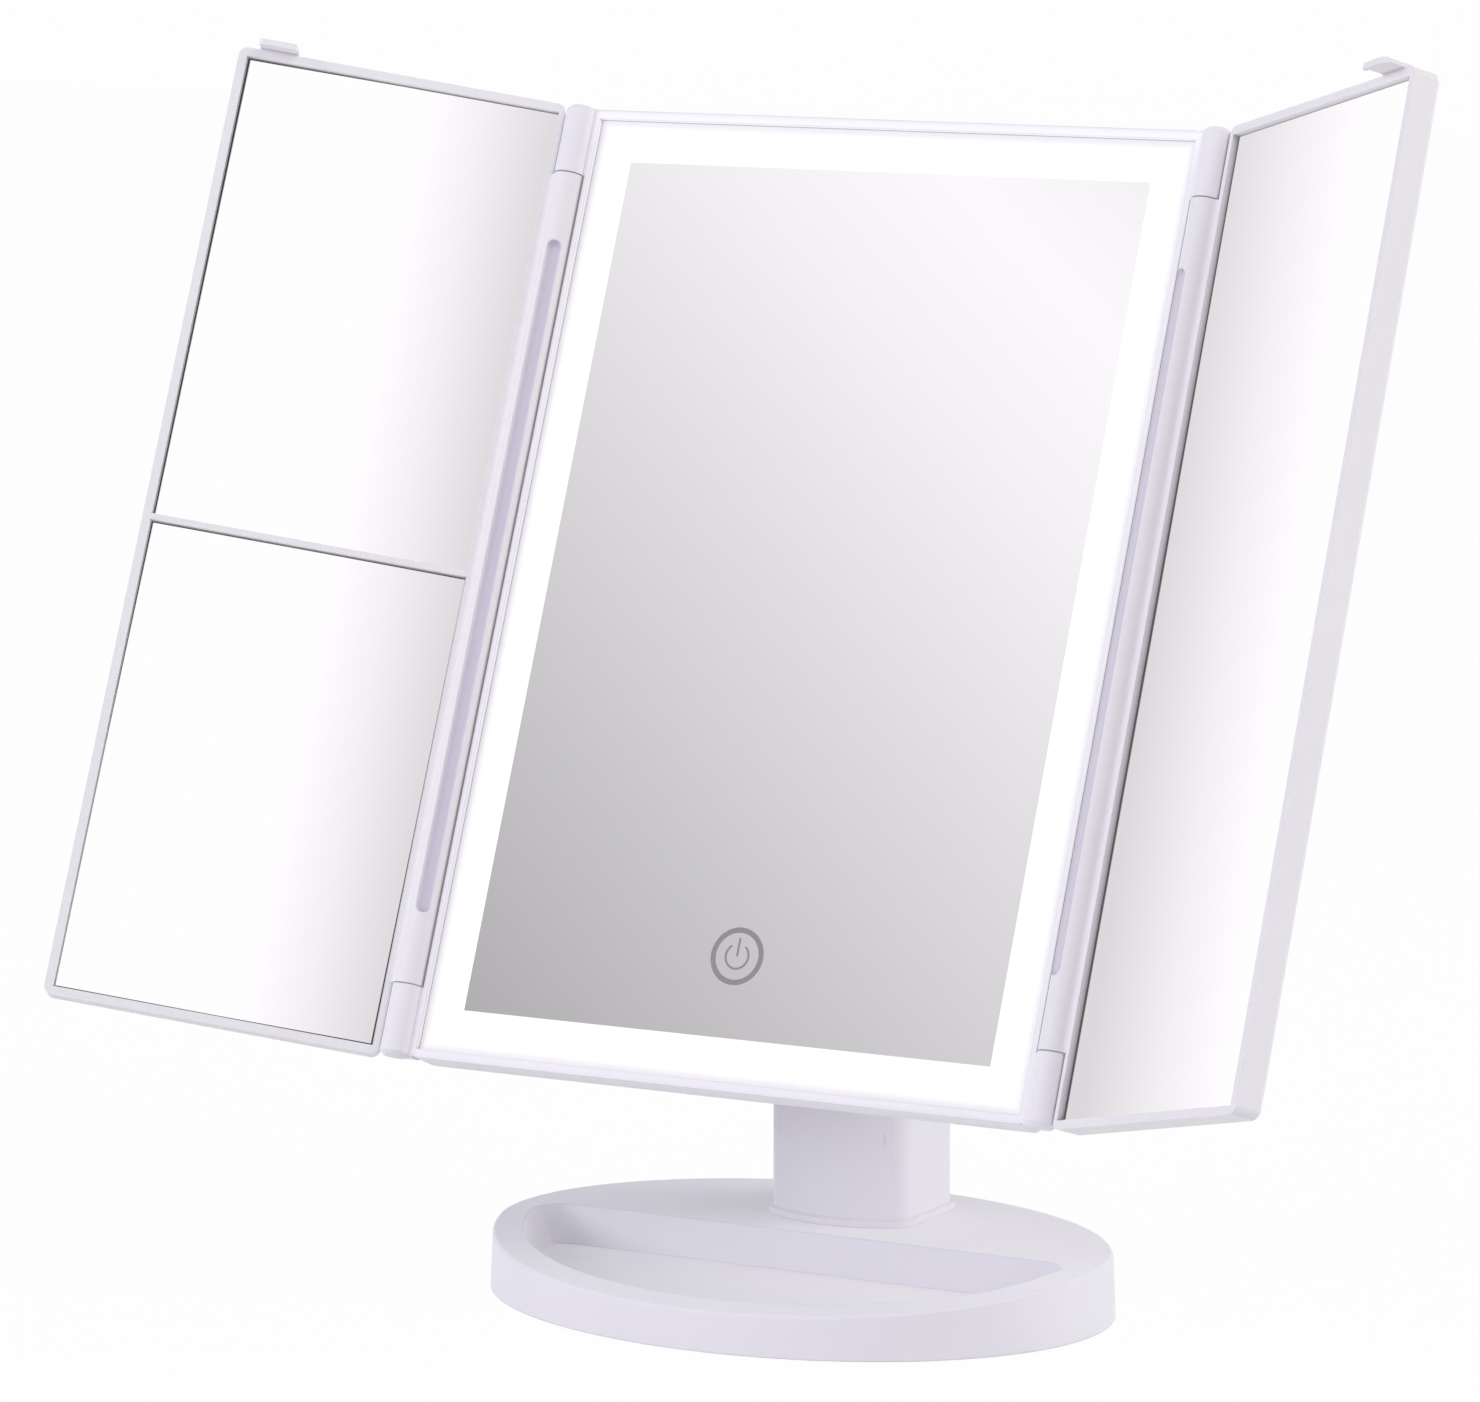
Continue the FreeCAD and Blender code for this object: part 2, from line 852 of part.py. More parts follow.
def make_base_cover():
    inset = 2 * (d.base_wall + d.base_draft + d.cover_inset)
    plate = oval_plate("cover_plate", d.base_length - inset, d.base_depth - inset, cover_low, cover_high)
    tools = []
    for number, (x, y) in enumerate(cover_screw_places):
        tools.append(
            cylinder("cover_hole_%d" % number, d.screw_radius + d.screw_fit, base_top, x, y, ZERO)
        )
        tools.append(
            cone(
                "cover_sink_%d" % number,
                d.screw_head_radius + d.screw_fit,
                d.screw_radius + d.screw_fit,
                d.screw_head_height,
                x,
                y,
                cover_low,
            )
        )
    return node("base_bottom_cover", cut("base_bottom_cover", plate, fuse("cover_tools", *tools)))


def make_pad():
    inset = 2 * d.pad_inset
    plate = oval_plate("pad_plate", d.base_length - inset, d.base_depth - inset, ZERO, d.pad_thickness)
    return node("anti_slip_pad", plate)


def make_ballast():
    """A steel plate on the bottom cover, under the level part of the base."""
    half = d.ballast_length / 2
    low = d.tray_wall_y + d.base_wall + d.ballast_gap
    inset = 2 * d.ballast_inset
    plate = common(
        "ballast_plate",
        box("ballast_block", -half, half, low, half_base, cover_high, cover_high + d.ballast_thickness),
        oval_plate("ballast_oval", d.base_length - inset, d.base_depth - inset, ZERO, base_top),
    )
    holes = [
        cylinder("ballast_hole_%d" % number, d.boss_radius + d.ballast_hole_gap, base_top, x, y, ZERO)
        for number, (x, y) in enumerate(cover_screw_places)
    ]
    return node("base_ballast", cut("base_ballast", plate, group("ballast_holes", holes)))


# ---------------------------------------------------------------- post

half_post = d.post_width / 2
post_low = base_top
post_top = d.tilt_height + d.post_depth / 2
rear_face = post_back - d.rear_cover_thickness


def post_section(sketch, grow, back):
    """The post's plan: bowed front, flat sides and back."""
    half = half_post + grow
    bow = d.post_bow + grow
    side_y = d.post_front - grow + bow - root(bow * bow - half * half)
    return outline(
        sketch,
        [(-half, back), (-half, side_y), (half, side_y), (half, back)],
        {1: (bow, 1)},
    )


slot_half = d.lug_width / 2 + d.washer_thickness + d.fit_gap
slot_floor = d.tilt_height - d.lug_radius - d.lug_gap
inner_half = half_post - d.post_wall
hollow_low = post_low + d.post_floor
hollow_high = slot_floor - d.post_wall
bay_length = 2 * d.cell_length + 2 * d.contact_space
bay_top = hollow_high - d.bay_top_gap - d.tray_shell
bay_bottom = bay_top - bay_length
door_half = d.door_width / 2
door_low = bay_bottom - d.tray_shell
door_high = bay_top + d.tray_shell
rear_screw_z = (d.socket_z + d.power_board_height / 2 + door_low) / 2


def make_post_shell():
    body = new_body("post_shell")
    pad(body, post_section(sketch_on(body, "top", post_low), d.post_flare, post_back), d.post_flare_height)
    pad(
        body,
        post_section(sketch_on(body, "top", post_low), ZERO, post_back),
        post_top - post_low + d.over_cut,
    )
    tall = (post_top - post_low).number
    front = d.post_front.number
    middle = tilt_y.number
    round_edges(
        body,
        lambda edge: runs_along(edge, "z") and edge.BoundBox.YMax < middle and edge.Length > tall / 2,
        d.post_corner,
    )
    round_edges(
        body,
        lambda edge: runs_along(edge, "z") and edge.BoundBox.YMax > middle and edge.Length > tall / 2,
        d.post_back_corner,
    )
    flare_top = (post_low + d.post_flare_height).number
    round_edges(
        body,
        lambda edge: runs_along(edge, "z") and edge.BoundBox.YMax < middle and edge.Length < tall / 2,
        d.post_corner + d.post_flare,
    )
    # the round head about the tilt axis
    radius = d.post_depth / 2
    over = post_top + overhang
    head = sketch_on(body, "side")
    outline(
        head,
        [
            (tilt_y - radius, d.tilt_height),
            (tilt_y - radius - overhang, d.tilt_height),
            (tilt_y - radius - overhang, over),
            (tilt_y + radius + overhang, over),
            (tilt_y + radius + overhang, d.tilt_height),
            (tilt_y + radius, d.tilt_height),
            (tilt_y, post_top),
        ],
        {5: (radius, 1), 6: (radius, 1)},
    )
    pocket(body, head, d.post_width + 2 * overhang, midplane=True)
    # hollow behind the bowed wall, open to the back
    hollow = sketch_on(body, "top", post_low + d.post_floor)
    post_section(hollow, -d.post_wall, post_back + d.over_cut)
    pocket(body, hollow, slot_floor - d.post_wall - post_low - d.post_floor, towards_normal=True)
    # bosses that the rear cover is screwed to
    bosses = sketch_on(body, "front", -rear_face)
    for side in (-1, 1):
        circle(bosses, side * d.rear_screw_x, rear_screw_z, d.boss_radius)
    pad(body, bosses, rear_face - d.post_front - d.post_wall - d.boss_root)
    pilots = sketch_on(body, "front", -rear_face)
    for side in (-1, 1):
        circle(pilots, side * d.rear_screw_x, rear_screw_z, d.screw_radius + d.screw_fit)
    pocket(body, pilots, d.screw_length, towards_normal=True)
    # slot for the panel's lug
    slot = sketch_on(body, "side")
    rectangle(
        slot,
        d.post_front - overhang,
        tilt_y + d.lug_radius + d.lug_gap,
        slot_floor,
        over,
    )
    pocket(body, slot, slot_half * 2, midplane=True)
    bore = sketch_on(body, "side")
    circle(bore, tilt_y, d.tilt_height, d.bolt_radius + d.bolt_clearance)
    pocket(body, bore, d.post_width + overhang, midplane=True)
    for side in (-1, 1):
        face = half_post - d.bolt_recess_depth
        recess = sketch_on(body, "side", side * face)
        circle(recess, tilt_y, d.tilt_height, d.bolt_recess_radius)
        pocket(body, recess, d.bolt_recess_depth + d.over_cut, towards_normal=side > 0)
    holes = sketch_on(body, "top", post_low)
    for x, y in post_screw_places:
        circle(holes, x, y, d.screw_radius + d.screw_fit)
    pocket(body, holes, d.post_floor + d.over_cut, towards_normal=True)
    return node("post_shell", body)




def make_post_rear_cover():
    body = new_body("post_rear_cover")
    plate = sketch_on(body, "front", -post_back)
    gap = d.rear_cover_gap
    rectangle(plate, -inner_half + gap, inner_half - gap, hollow_low + gap, hollow_high - gap)
    pad(body, plate, d.rear_cover_thickness)
    opening = sketch_on(body, "front", -post_back)
    rectangle(opening, -door_half, door_half, door_low, door_high)
    pocket(body, opening, d.rear_cover_thickness, towards_normal=True)
    power = sketch_on(body, "front", -post_back)
    rectangle(
        power,
        d.socket_x - d.socket_width / 2 - d.socket_play,
        d.socket_x + d.socket_width / 2 + d.socket_play,
        d.socket_z - d.socket_height / 2 - d.socket_play,
        d.socket_z + d.socket_height / 2 + d.socket_play,
    )
    pocket(body, power, d.rear_cover_thickness, towards_normal=True)
    slider = sketch_on(body, "front", -post_back)
    reach = (d.knob_width + d.switch_travel) / 2 + d.knob_opening
    rectangle(
        slider,
        d.switch_x - reach,
        d.switch_x + reach,
        d.socket_z - d.knob_height / 2 - d.knob_opening,
        d.socket_z + d.knob_height / 2 + d.knob_opening,
    )
    pocket(body, slider, d.rear_cover_thickness, towards_normal=True)
    holes = sketch_on(body, "front", -post_back)
    sinks = sketch_on(body, "front", -post_back)
    for side in (-1, 1):
        circle(holes, side * d.rear_screw_x, rear_screw_z, d.screw_radius + d.screw_fit)
        circle(sinks, side * d.rear_screw_x, rear_screw_z, d.screw_head_radius + d.screw_fit)
    pocket(body, holes, d.rear_cover_thickness, towards_normal=True)
    pocket(body, sinks, d.screw_head_height, towards_normal=True)
    return node("post_rear_cover", body)


def make_battery_door():
    body = new_body("battery_door")
    gap = d.door_gap
    plate = sketch_on(body, "front", -post_back)
    rectangle(plate, -door_half + gap, door_half - gap, door_low + gap, door_high - gap)
    pad(body, plate, d.rear_cover_thickness)
    # a thumb recess under the latch at the top, and grip ribs left between shallow cuts
    thumb = sketch_on(body, "front", -post_back)
    circle(thumb, ZERO, door_high - d.door_thumb_drop, d.door_latch_width / 2)
    pocket(body, thumb, d.door_thumb_depth, towards_normal=True)
    grips = sketch_on(body, "front", -post_back)
    for step in range(3):
        low = door_high - d.door_grip_drop - step * d.door_grip_pitch
        wide = d.door_latch_width / 2
        rectangle(grips, -wide, wide, low, low + d.door_grip_width)
    pocket(body, grips, d.door_grip_depth, towards_normal=True)
    return node("battery_door", body)


tray_back = rear_face - d.seat_play
tray_inside = 2 * (2 * d.cell_radius + d.cell_gap) + d.cell_gap
tray_deep = 2 * d.cell_radius + 2 * d.cell_gap


def make_battery_tray():
    body = new_body("battery_tray")
    outer = sketch_on(body, "front", -tray_back)
    half = tray_inside / 2 + d.tray_shell
    rectangle(outer, -half, half, bay_bottom - d.tray_shell, bay_top + d.tray_shell)
    pad(body, outer, tray_deep + d.tray_shell)
    inner = sketch_on(body, "front", -tray_back)
    rectangle(inner, -tray_inside / 2, tray_inside / 2, bay_bottom, bay_top)
    pocket(body, inner, tray_deep, towards_normal=True)
    # the tray stands off the post's front wall on two ribs
    ribs = sketch_on(body, "top", bay_bottom)
    for side in (-1, 1):
        x = side * d.tray_rib_x
        half = d.tray_rib_width / 2
        deep = tray_back - tray_deep - d.tray_shell
        rectangle(ribs, x - half, x + half, d.post_front + d.post_wall + d.tray_shell, deep + d.root_overlap)
    pad(body, ribs, bay_length)
    return node("battery_tray", body)


cell_x = d.cell_radius + d.cell_gap / 2
cell_y = tray_back - tray_deep + d.cell_radius + d.cell_gap
cell_places = [
    (side * cell_x, bay_bottom + d.contact_space + row * d.cell_length)
    for side in (-1, 1)
    for row in (0, 1)
]


def make_batteries():
    """AAA cells, two above one another on each side, plus pole up on the right."""
    cells = []
    for number, (x, z) in enumerate(cell_places):
        up = x.number > 0
        start = z if up else z + d.cell_length
        axis = "z" if up else "-z"
        can_long = d.cell_length - d.pole_height
        can_profile = [(d.cell_radius, ZERO), (d.cell_radius, can_long)]
        can = turned("cell_can_%d" % number, can_profile, x, cell_y, start, axis, CELL_SIDES)
        pole_profile = [(d.pole_radius, d.pole_height), (d.pole_radius, d.cell_length)]
        tip = turned("cell_pole_%d" % number, pole_profile, x, cell_y, start, axis, SCREW_SIDES)
        cells.append(fuse("cell_%d" % number, can, tip))
    return node("batteries", group("batteries", cells))


def make_contacts():
    """Plates at both ends of the cells: a cone spring on the negative side, a dimple on
    the positive one. The bottom plate bridges both columns."""
    thick = d.contact_thickness
    parts = []
    for number, (x, z, up) in enumerate(
        [
            (cell_x, bay_bottom, True),
            (-cell_x, bay_bottom, True),
            (cell_x, bay_top, False),
            (-cell_x, bay_top, False),
        ]
    ):
        low = z if up else z - thick
        half = d.cell_radius - d.contact_margin
        plate = box(
            "contact_plate_%d" % number,
            x - half,
            x + half,
            cell_y - d.contact_height / 2,
            cell_y + d.contact_height / 2,
            low,
            low + thick,
        )
        spring = (x.number > 0) == up
        reach = d.contact_space - d.contact_play
        wide = d.spring_radius if spring else d.dimple_radius
        profile = [(wide, ZERO), (wide / 2, reach)]
        axis = "z" if up else "-z"
        bump = turned("contact_cone_%d" % number, profile, x, cell_y, z, axis, SCREW_SIDES)
        parts.append(fuse("contact_%d" % number, plate, bump))
    return node("battery_contacts", group("battery_contacts", parts))


def make_bolt():
    head_x = -half_post + d.bolt_recess_depth
    length = 2 * (half_post - d.bolt_recess_depth) + d.nut_height + d.bolt_tail
    head = cylinder("bolt_head", d.bolt_head_radius, d.bolt_head_height, head_x, tilt_y, d.tilt_height, "-x")
    shank = cylinder("bolt_shank", d.bolt_radius, length, head_x, tilt_y, d.tilt_height, "x")
    return node("tilt_bolt", fuse("tilt_bolt", head, shank))


def make_nut():
    body = new_body("tilt_nut")
    start = half_post - d.bolt_recess_depth
    shape = sketch_on(body, "side", start)
    across = d.nut_width / 2
    corner = across * (2 / math.sqrt(3))
    corners = []
    for turn in range(6):
        angle = math.radians(60 * turn)
        corners.append(
            (tilt_y + corner * math.cos(angle), d.tilt_height + corner * math.sin(angle))
        )
    outline(shape, corners)
    pad(body, shape, d.nut_height)
    bore = sketch_on(body, "side", start)
    circle(bore, tilt_y, d.tilt_height, d.bolt_radius + d.nut_fit)
    pocket(body, bore, d.nut_height, towards_normal=True)
    return node("tilt_nut", body)


def make_washers():
    """Friction washers between the lug and the two ears of the post."""
    rings = []
    for side in (-1, 1):
        start = side * (d.lug_width / 2 + d.fit_gap / 2)
        axis = "x" if side > 0 else "-x"
        profile = [(d.washer_radius, ZERO), (d.washer_radius, d.washer_thickness)]
        place_at = (start, tilt_y, d.tilt_height)
        ring = turned("washer_disc_%s" % axis[-2:], profile, *place_at, axis, CELL_SIDES)
        hole = cylinder(
            "washer_hole_%s" % axis[-2:],
            d.bolt_radius + d.bolt_clearance,
            d.washer_thickness,
            start,
            tilt_y,
            d.tilt_height,
            axis,
        )
        rings.append(cut("washer_%s" % axis[-2:], ring, hole))
    return node("friction_washers", group("friction_washers", rings))


def make_caps():
    caps = []
    for side in (-1, 1):
        axis = "x" if side > 0 else "-x"
        start = side * (half_post - d.cap_thickness)
        caps.append(
            cylinder(
                "cap_disc_%s" % axis[-2:],
                d.bolt_recess_radius - d.fit_gap,
                d.cap_thickness,
                start,
                tilt_y,
                d.tilt_height,
                axis,
            )
        )
    return node("tilt_caps", group("tilt_caps", caps))


# ---------------------------------------------------------------- power inlet and switch

board_face = rear_face - d.switch_depth - d.seat_play


def make_power_board():
    half = d.power_board_width / 2
    low = d.socket_z - d.power_board_height / 2
    board = box(
        "power_board_plate",
        -half,
        half,
        board_face - d.power_board_thickness,
        board_face,
        low,
        low + d.power_board_height,
    )
    return node("power_board", board)


def make_socket():
    half = d.socket_width / 2
    tall = d.socket_height / 2
    front = post_back - d.socket_set
    shell = box(
        "socket_block",
        d.socket_x - half,
        d.socket_x + half,
        board_face,
        front,
        d.socket_z - tall,
        d.socket_z + tall,
    )
    wall = d.socket_shell
    space = box(
        "socket_space",
        d.socket_x - half + wall,
        d.socket_x + half - wall,
        front - d.socket_depth,
        front + d.over_cut,
        d.socket_z - tall + wall,
        d.socket_z + tall - wall,
    )
    tongue = box(
        "socket_tongue",
        d.socket_x - half / 2,
        d.socket_x + half / 2,
        front - d.socket_depth - d.seat_play,
        front - d.tongue_set,
        d.socket_z + d.tongue_rise,
        d.socket_z + d.tongue_rise + d.tongue_thickness,
    )
    return node("usb_socket", fuse("usb_socket", cut("socket_shell_part", shell, space), tongue))


def make_switch():
    half = d.switch_width / 2
    tall = d.switch_height / 2
    body = box(
        "switch_block",
        d.switch_x - half,
        d.switch_x + half,
        board_face,
        rear_face - d.seat_play,
        d.socket_z - tall,
        d.socket_z + tall,
    )
    reach = (d.knob_width + d.switch_travel) / 2 + d.knob_opening
    window = box(
        "switch_window",
        d.switch_x - reach,
        d.switch_x + reach,
        rear_face - d.knob_depth - d.knob_play,
        rear_face + d.over_cut,
        d.socket_z - d.knob_height / 2 - d.knob_play,
        d.socket_z + d.knob_height / 2 + d.knob_play,
    )
    return node("power_switch_body", cut("power_switch_body", body, window))


def make_knob():
    low_x = d.switch_x - (d.knob_width + d.switch_travel) / 2
    knob = box(
        "knob_block",
        low_x,
        low_x + d.knob_width,
        rear_face - d.knob_depth,
        post_back + d.knob_proud,
        d.socket_z - d.knob_height / 2,
        d.socket_z + d.knob_height / 2,
    )
    return node("power_switch_knob", knob)


# ---------------------------------------------------------------- centre panel

half_hinge = d.hinge_spacing / 2
half_panel = half_hinge - d.knuckle_radius - d.knuckle_gap
half_tall = d.panel_height / 2
window_half = half_panel - d.rim_side
window_tall = half_tall - d.rim_end
pin_start = d.knuckle_split - d.knuckle_seam / 2 - d.pin_grip
pin_length = 2 * d.pin_grip
boss_places = [
    (sx * (window_half - d.frame_boss_inset), sz * (window_tall - d.frame_boss_inset))
    for sz in (-1, 1)
    for sx in (-1, 1)
]


mirror_width = 2 * (window_half - d.border_side)
mirror_height = 2 * (window_tall - d.border_end)
mirror_floor = d.window_recess + d.diffuser_thickness


def make_panel_frame():
    body = new_body("panel_frame")
    outer = sketch_on(body, "front", -d.panel_frame_depth)
    rectangle(outer, -half_panel, half_panel, -half_tall, half_tall)
    pad(body, outer, d.panel_frame_depth)
    round_edges(body, lambda edge: runs_along(edge, "y"), d.panel_corner)
    # window down to the ledge, and the space behind the ledge
    window = sketch_on(body, "front", ZERO)
    rectangle(window, -window_half, window_half, -window_tall, window_tall)
    ledge_front = d.window_recess + d.diffuser_thickness
    pocket(body, window, ledge_front)
    ledge = sketch_on(body, "front", -ledge_front)
    rectangle(
        ledge,
        -window_half + d.ledge_width,
        window_half - d.ledge_width,
        -window_tall + d.ledge_width,
        window_tall - d.ledge_width,
    )
    pocket(body, ledge, d.ledge_thickness)
    behind = sketch_on(body, "front", -(ledge_front + d.ledge_thickness))
    rectangle(behind, -window_half, window_half, -window_tall, window_tall)
    pocket(body, behind, d.panel_frame_depth)
    # screw bosses in the corners
    bosses = sketch_on(body, "front", -d.panel_frame_depth)
    for x, z in boss_places:
        circle(bosses, x, z, d.frame_boss_radius)
    pad(body, bosses, d.panel_frame_depth - ledge_front)
    pilots = sketch_on(body, "front", -d.panel_frame_depth)
    for x, z in boss_places:
        circle(pilots, x, z, d.screw_radius + d.screw_fit)
    pocket(body, pilots, d.panel_frame_depth - ledge_front - d.screw_tip_gap, towards_normal=True)
    # end knuckles with bevelled tips, and the webs that join them to the frame
    knuckle_low = d.knuckle_split + d.knuckle_seam / 2
    bevel_start = d.knuckle_top - d.knuckle_bevel
    for end in (-1, 1):
        barrels = sketch_on(body, "top", knuckle_low if end > 0 else -bevel_start)
        tips = sketch_on(body, "top", end * bevel_start)
        for side in (-1, 1):
            circle(barrels, side * half_hinge, ZERO, d.knuckle_radius)
            circle(tips, side * half_hinge, ZERO, d.knuckle_radius)
        pad(body, barrels, bevel_start - knuckle_low)
        bevel = pad(body, tips, d.knuckle_bevel)
        bind(bevel, "TaperAngle", -d.knuckle_bevel_angle)
        bevel.Reversed = end < 0
        webs = sketch_on(body, "top", knuckle_low if end > 0 else -half_tall)
        for side in (-1, 1):
            rectangle(
                webs,
                side * (half_panel - d.web_overlap),
                side * half_hinge,
                ZERO,
                d.knuckle_radius,
            )
        pad(body, webs, half_tall - knuckle_low)
    for end in (-1, 1):
        bores = sketch_on(body, "top", end * knuckle_low)
        for side in (-1, 1):
            circle(bores, side * half_hinge, ZERO, d.pin_radius + d.pin_fit / 2)
        pocket(
            body,
            bores,
            d.pin_grip - d.knuckle_seam + d.pin_end_play,
            towards_normal=end > 0,
        )
    return node("panel_frame", body, PANEL)


def make_wing_pins():
    pins = []
    for side in (-1, 1):
        for end in (-1, 1):
            pins.append(
                cylinder(
                    "pin_%d_%d" % (side + 1, end + 1),
                    d.pin_radius,
                    pin_length,
                    side * half_hinge,
                    ZERO,
                    end * pin_start,
                    "z" if end > 0 else "-z",
                )
            )
    return node("wing_hinge_pins", group("wing_hinge_pins", pins), PANEL)


cover_inside = d.panel_depth - d.rear_floor


def make_panel_rear_cover():
    body = new_body("panel_rear_cover")
    deep = d.panel_depth - d.panel_frame_depth
    outer = sketch_on(body, "front", -d.panel_depth)
    rectangle(outer, -half_panel, half_panel, -half_tall, half_tall)
    pad(body, outer, deep)
    round_edges(body, lambda edge: runs_along(edge, "y"), d.panel_corner)
    back = d.panel_depth.number
    round_edges(body, lambda edge: flat_at(edge, "y", back), d.panel_back_edge, "Chamfer")
    inside = sketch_on(body, "front", -d.panel_frame_depth)
    rectangle(
        inside,
        -half_panel + d.panel_wall,
        half_panel - d.panel_wall,
        -half_tall + d.panel_wall,
        half_tall - d.panel_wall,
    )
    pocket(body, inside, cover_inside - d.panel_frame_depth)
    # hollow posts under the frame's bosses
    posts = sketch_on(body, "front", -(cover_inside + d.root_overlap))
    for x, z in boss_places:
        circle(posts, x, z, d.frame_boss_radius)
    pad(body, posts, cover_inside + d.root_overlap - d.panel_frame_depth)
    holes = sketch_on(body, "front", -d.panel_depth)
    for x, z in boss_places:
        circle(holes, x, z, d.screw_radius + d.screw_fit)
    pocket(body, holes, d.panel_depth, towards_normal=True)
    sinks = sketch_on(body, "front", -d.panel_depth)
    for x, z in boss_places:
        circle(sinks, x, z, d.screw_head_radius + d.screw_fit)
    pocket(body, sinks, d.screw_head_height, towards_normal=True)
    # tilt lug on a flange
    flange = sketch_on(body, "front", -(d.panel_depth + d.flange_thickness))
    half = d.flange_width / 2
    high = d.flange_height / 2
    rectangle(flange, -half, half, -high, high)
    pad(body, flange, d.flange_thickness + 2 * d.root_overlap)
    deepest = (d.panel_depth + d.flange_thickness).number
    round_edges(
        body,
        lambda edge: runs_along(edge, "y")
        and edge.BoundBox.YMax > deepest - 0.01
        and edge.Length > d.over_cut.number,
        d.flange_corner,
    )
    lug = sketch_on(body, "side")
    rectangle(lug, d.panel_depth + 2 * d.root_overlap, d.tilt_reach, -d.lug_radius, d.lug_radius)
    pad(body, lug, d.lug_width, midplane=True)
    nose = sketch_on(body, "side")
    circle(nose, d.tilt_reach, ZERO, d.lug_radius)
    pad(body, nose, d.lug_width, midplane=True)
    bore = sketch_on(body, "side")
    circle(bore, d.tilt_reach, ZERO, d.bolt_radius + d.bolt_clearance)
    pocket(body, bore, d.lug_width + overhang, midplane=True)
    return node("panel_rear_cover", body, PANEL)


panel_pilot_end = mirror_floor + d.screw_tip_gap
panel_screw_length = d.panel_depth - panel_pilot_end - d.screw_tip_gap


def make_panel_screws():
    screws = [
        screw("panel_screw_%d" % number, x, d.panel_depth, z, "-y", panel_screw_length)
        for number, (x, z) in enumerate(boss_places)
    ]
    return node("panel_screws", group("panel_screws", screws), PANEL)


def make_diffuser():
    """The opal border plate, with a pocket in its front that holds the mirror flush."""
    body = new_body("light_diffuser")
    plate = sketch_on(body, "front", -(d.window_recess + d.diffuser_thickness))
    half = window_half - d.pane_gap
    high = window_tall - d.pane_gap
    rectangle(plate, -half, half, -high, high)
    pad(body, plate, d.diffuser_thickness)
    seat = sketch_on(body, "front", -d.window_recess)
    gap = d.mirror_fit
    rectangle(
        seat,
        -mirror_width / 2 - gap,
        mirror_width / 2 + gap,
        -mirror_height / 2 - gap,
        mirror_height / 2 + gap,
    )
    pocket(body, seat, d.glass_thickness)
    return node("light_diffuser", body, PANEL)


def make_center_mirror():
    body = new_body("center_mirror")
    plate = sketch_on(body, "front", -(d.window_recess + d.glass_thickness))
    half = mirror_width / 2
    high = mirror_height / 2
    rectangle(plate, -half, half, -high, high)
    pad(body, plate, d.glass_thickness)
    return node("center_mirror", body, PANEL)


led_x = (window_half + mirror_width / 2) / 2
led_z = (window_tall + mirror_height / 2) / 2
board_front = cover_inside - d.led_board_thickness


def make_led_boards():
    """Four strips round the border, lying on the rear cover's floor."""
    half = d.led_board_width / 2
    side_reach = led_z - d.led_margin + half
    end_reach = led_x - d.led_margin + half
    strips = []
    for side in (-1, 1):
        strips.append(
            box(
                "led_strip_side_%d" % (side + 1),
                side * led_x - half,
                side * led_x + half,
                board_front,
                cover_inside,
                -side_reach,
                side_reach,
            )
        )
        strips.append(
            box(
                "led_strip_end_%d" % (side + 1),
                -end_reach,
                end_reach,
                board_front,
                cover_inside,
                side * led_z - half,
                side * led_z + half,
            )
        )
    return node("led_boards", group("led_boards", strips), PANEL)


def make_leds():
    places = []
    side_reach = led_z - d.led_margin
    end_reach = led_x - d.led_margin
    for side in (-1, 1):
        for step in range(LEDS_PER_SIDE):
            share = 2.0 * step / (LEDS_PER_SIDE - 1) - 1.0
            places.append((side * led_x, side_reach * share))
        for step in range(LEDS_PER_END):
            share = 2.0 * step / (LEDS_PER_END - 1) - 1.0
            places.append((end_reach * share, side * led_z))
    half = d.led_size / 2
    chips = [
        box(
            "led_%d" % number,
            x - half,
            x + half,
            board_front - d.led_height,
            board_front,
            z - half,
            z + half,
        )
        for number, (x, z) in enumerate(places)
    ]
    return node("led_chips", group("led_chips", chips), PANEL)


def make_touch_pad():
    y = d.window_recess + d.diffuser_thickness
    pad_disc = cylinder("touch_disc", d.touch_radius, d.touch_thickness, ZERO, y, -d.touch_drop, "y")
    return node("touch_sensor_pad", pad_disc, PANEL)


def make_touch_contact():
    """A conductive foam post from the sensor pad to the control board."""
    y = d.window_recess + d.diffuser_thickness + d.touch_thickness
    post = cylinder("touch_post", d.touch_radius / 3, board_front - y, ZERO, y, -d.touch_drop, "y")
    return node("touch_contact", post, PANEL)


def make_control_board():
    half = d.control_width / 2
    high = d.control_height / 2
    low = -d.touch_drop - high
    plate = box("control_plate", -half, half, board_front, cover_inside, low, low + d.control_height)
    chip = box(
        "control_chip",
        half * d.chip_place,
        half * d.chip_place + d.chip_size,
        board_front - d.chip_height,
        board_front,
        -d.touch_drop - d.chip_drop,
        -d.touch_drop - d.chip_drop + d.chip_size,
    )
    coil = cylinder(
        "control_coil",
        d.coil_radius,
        d.coil_height,
        -half * d.coil_place,
        board_front - d.coil_height,
        -d.touch_drop,
        "y",
    )
    return node("control_board", fuse("control_board", plate, chip, coil), PANEL)


# ---------------------------------------------------------------- wings

wing_start = d.knuckle_radius + d.wing_hinge_clearance
wing_end = half_hinge - d.wing_meeting_gap / 2
opening_start = wing_start + d.wing_inner_rim
opening_end = wing_end - d.wing_rim
half_wing = d.wing_height / 2
opening_high = half_wing - d.wing_rim
pane_front = d.wing_set + d.pane_recess
pane_back = pane_front + d.pane_thickness
tray_floor_y = d.wing_set + d.wing_thickness - d.wing_back_wall
barrel_half = d.knuckle_split - d.knuckle_seam / 2


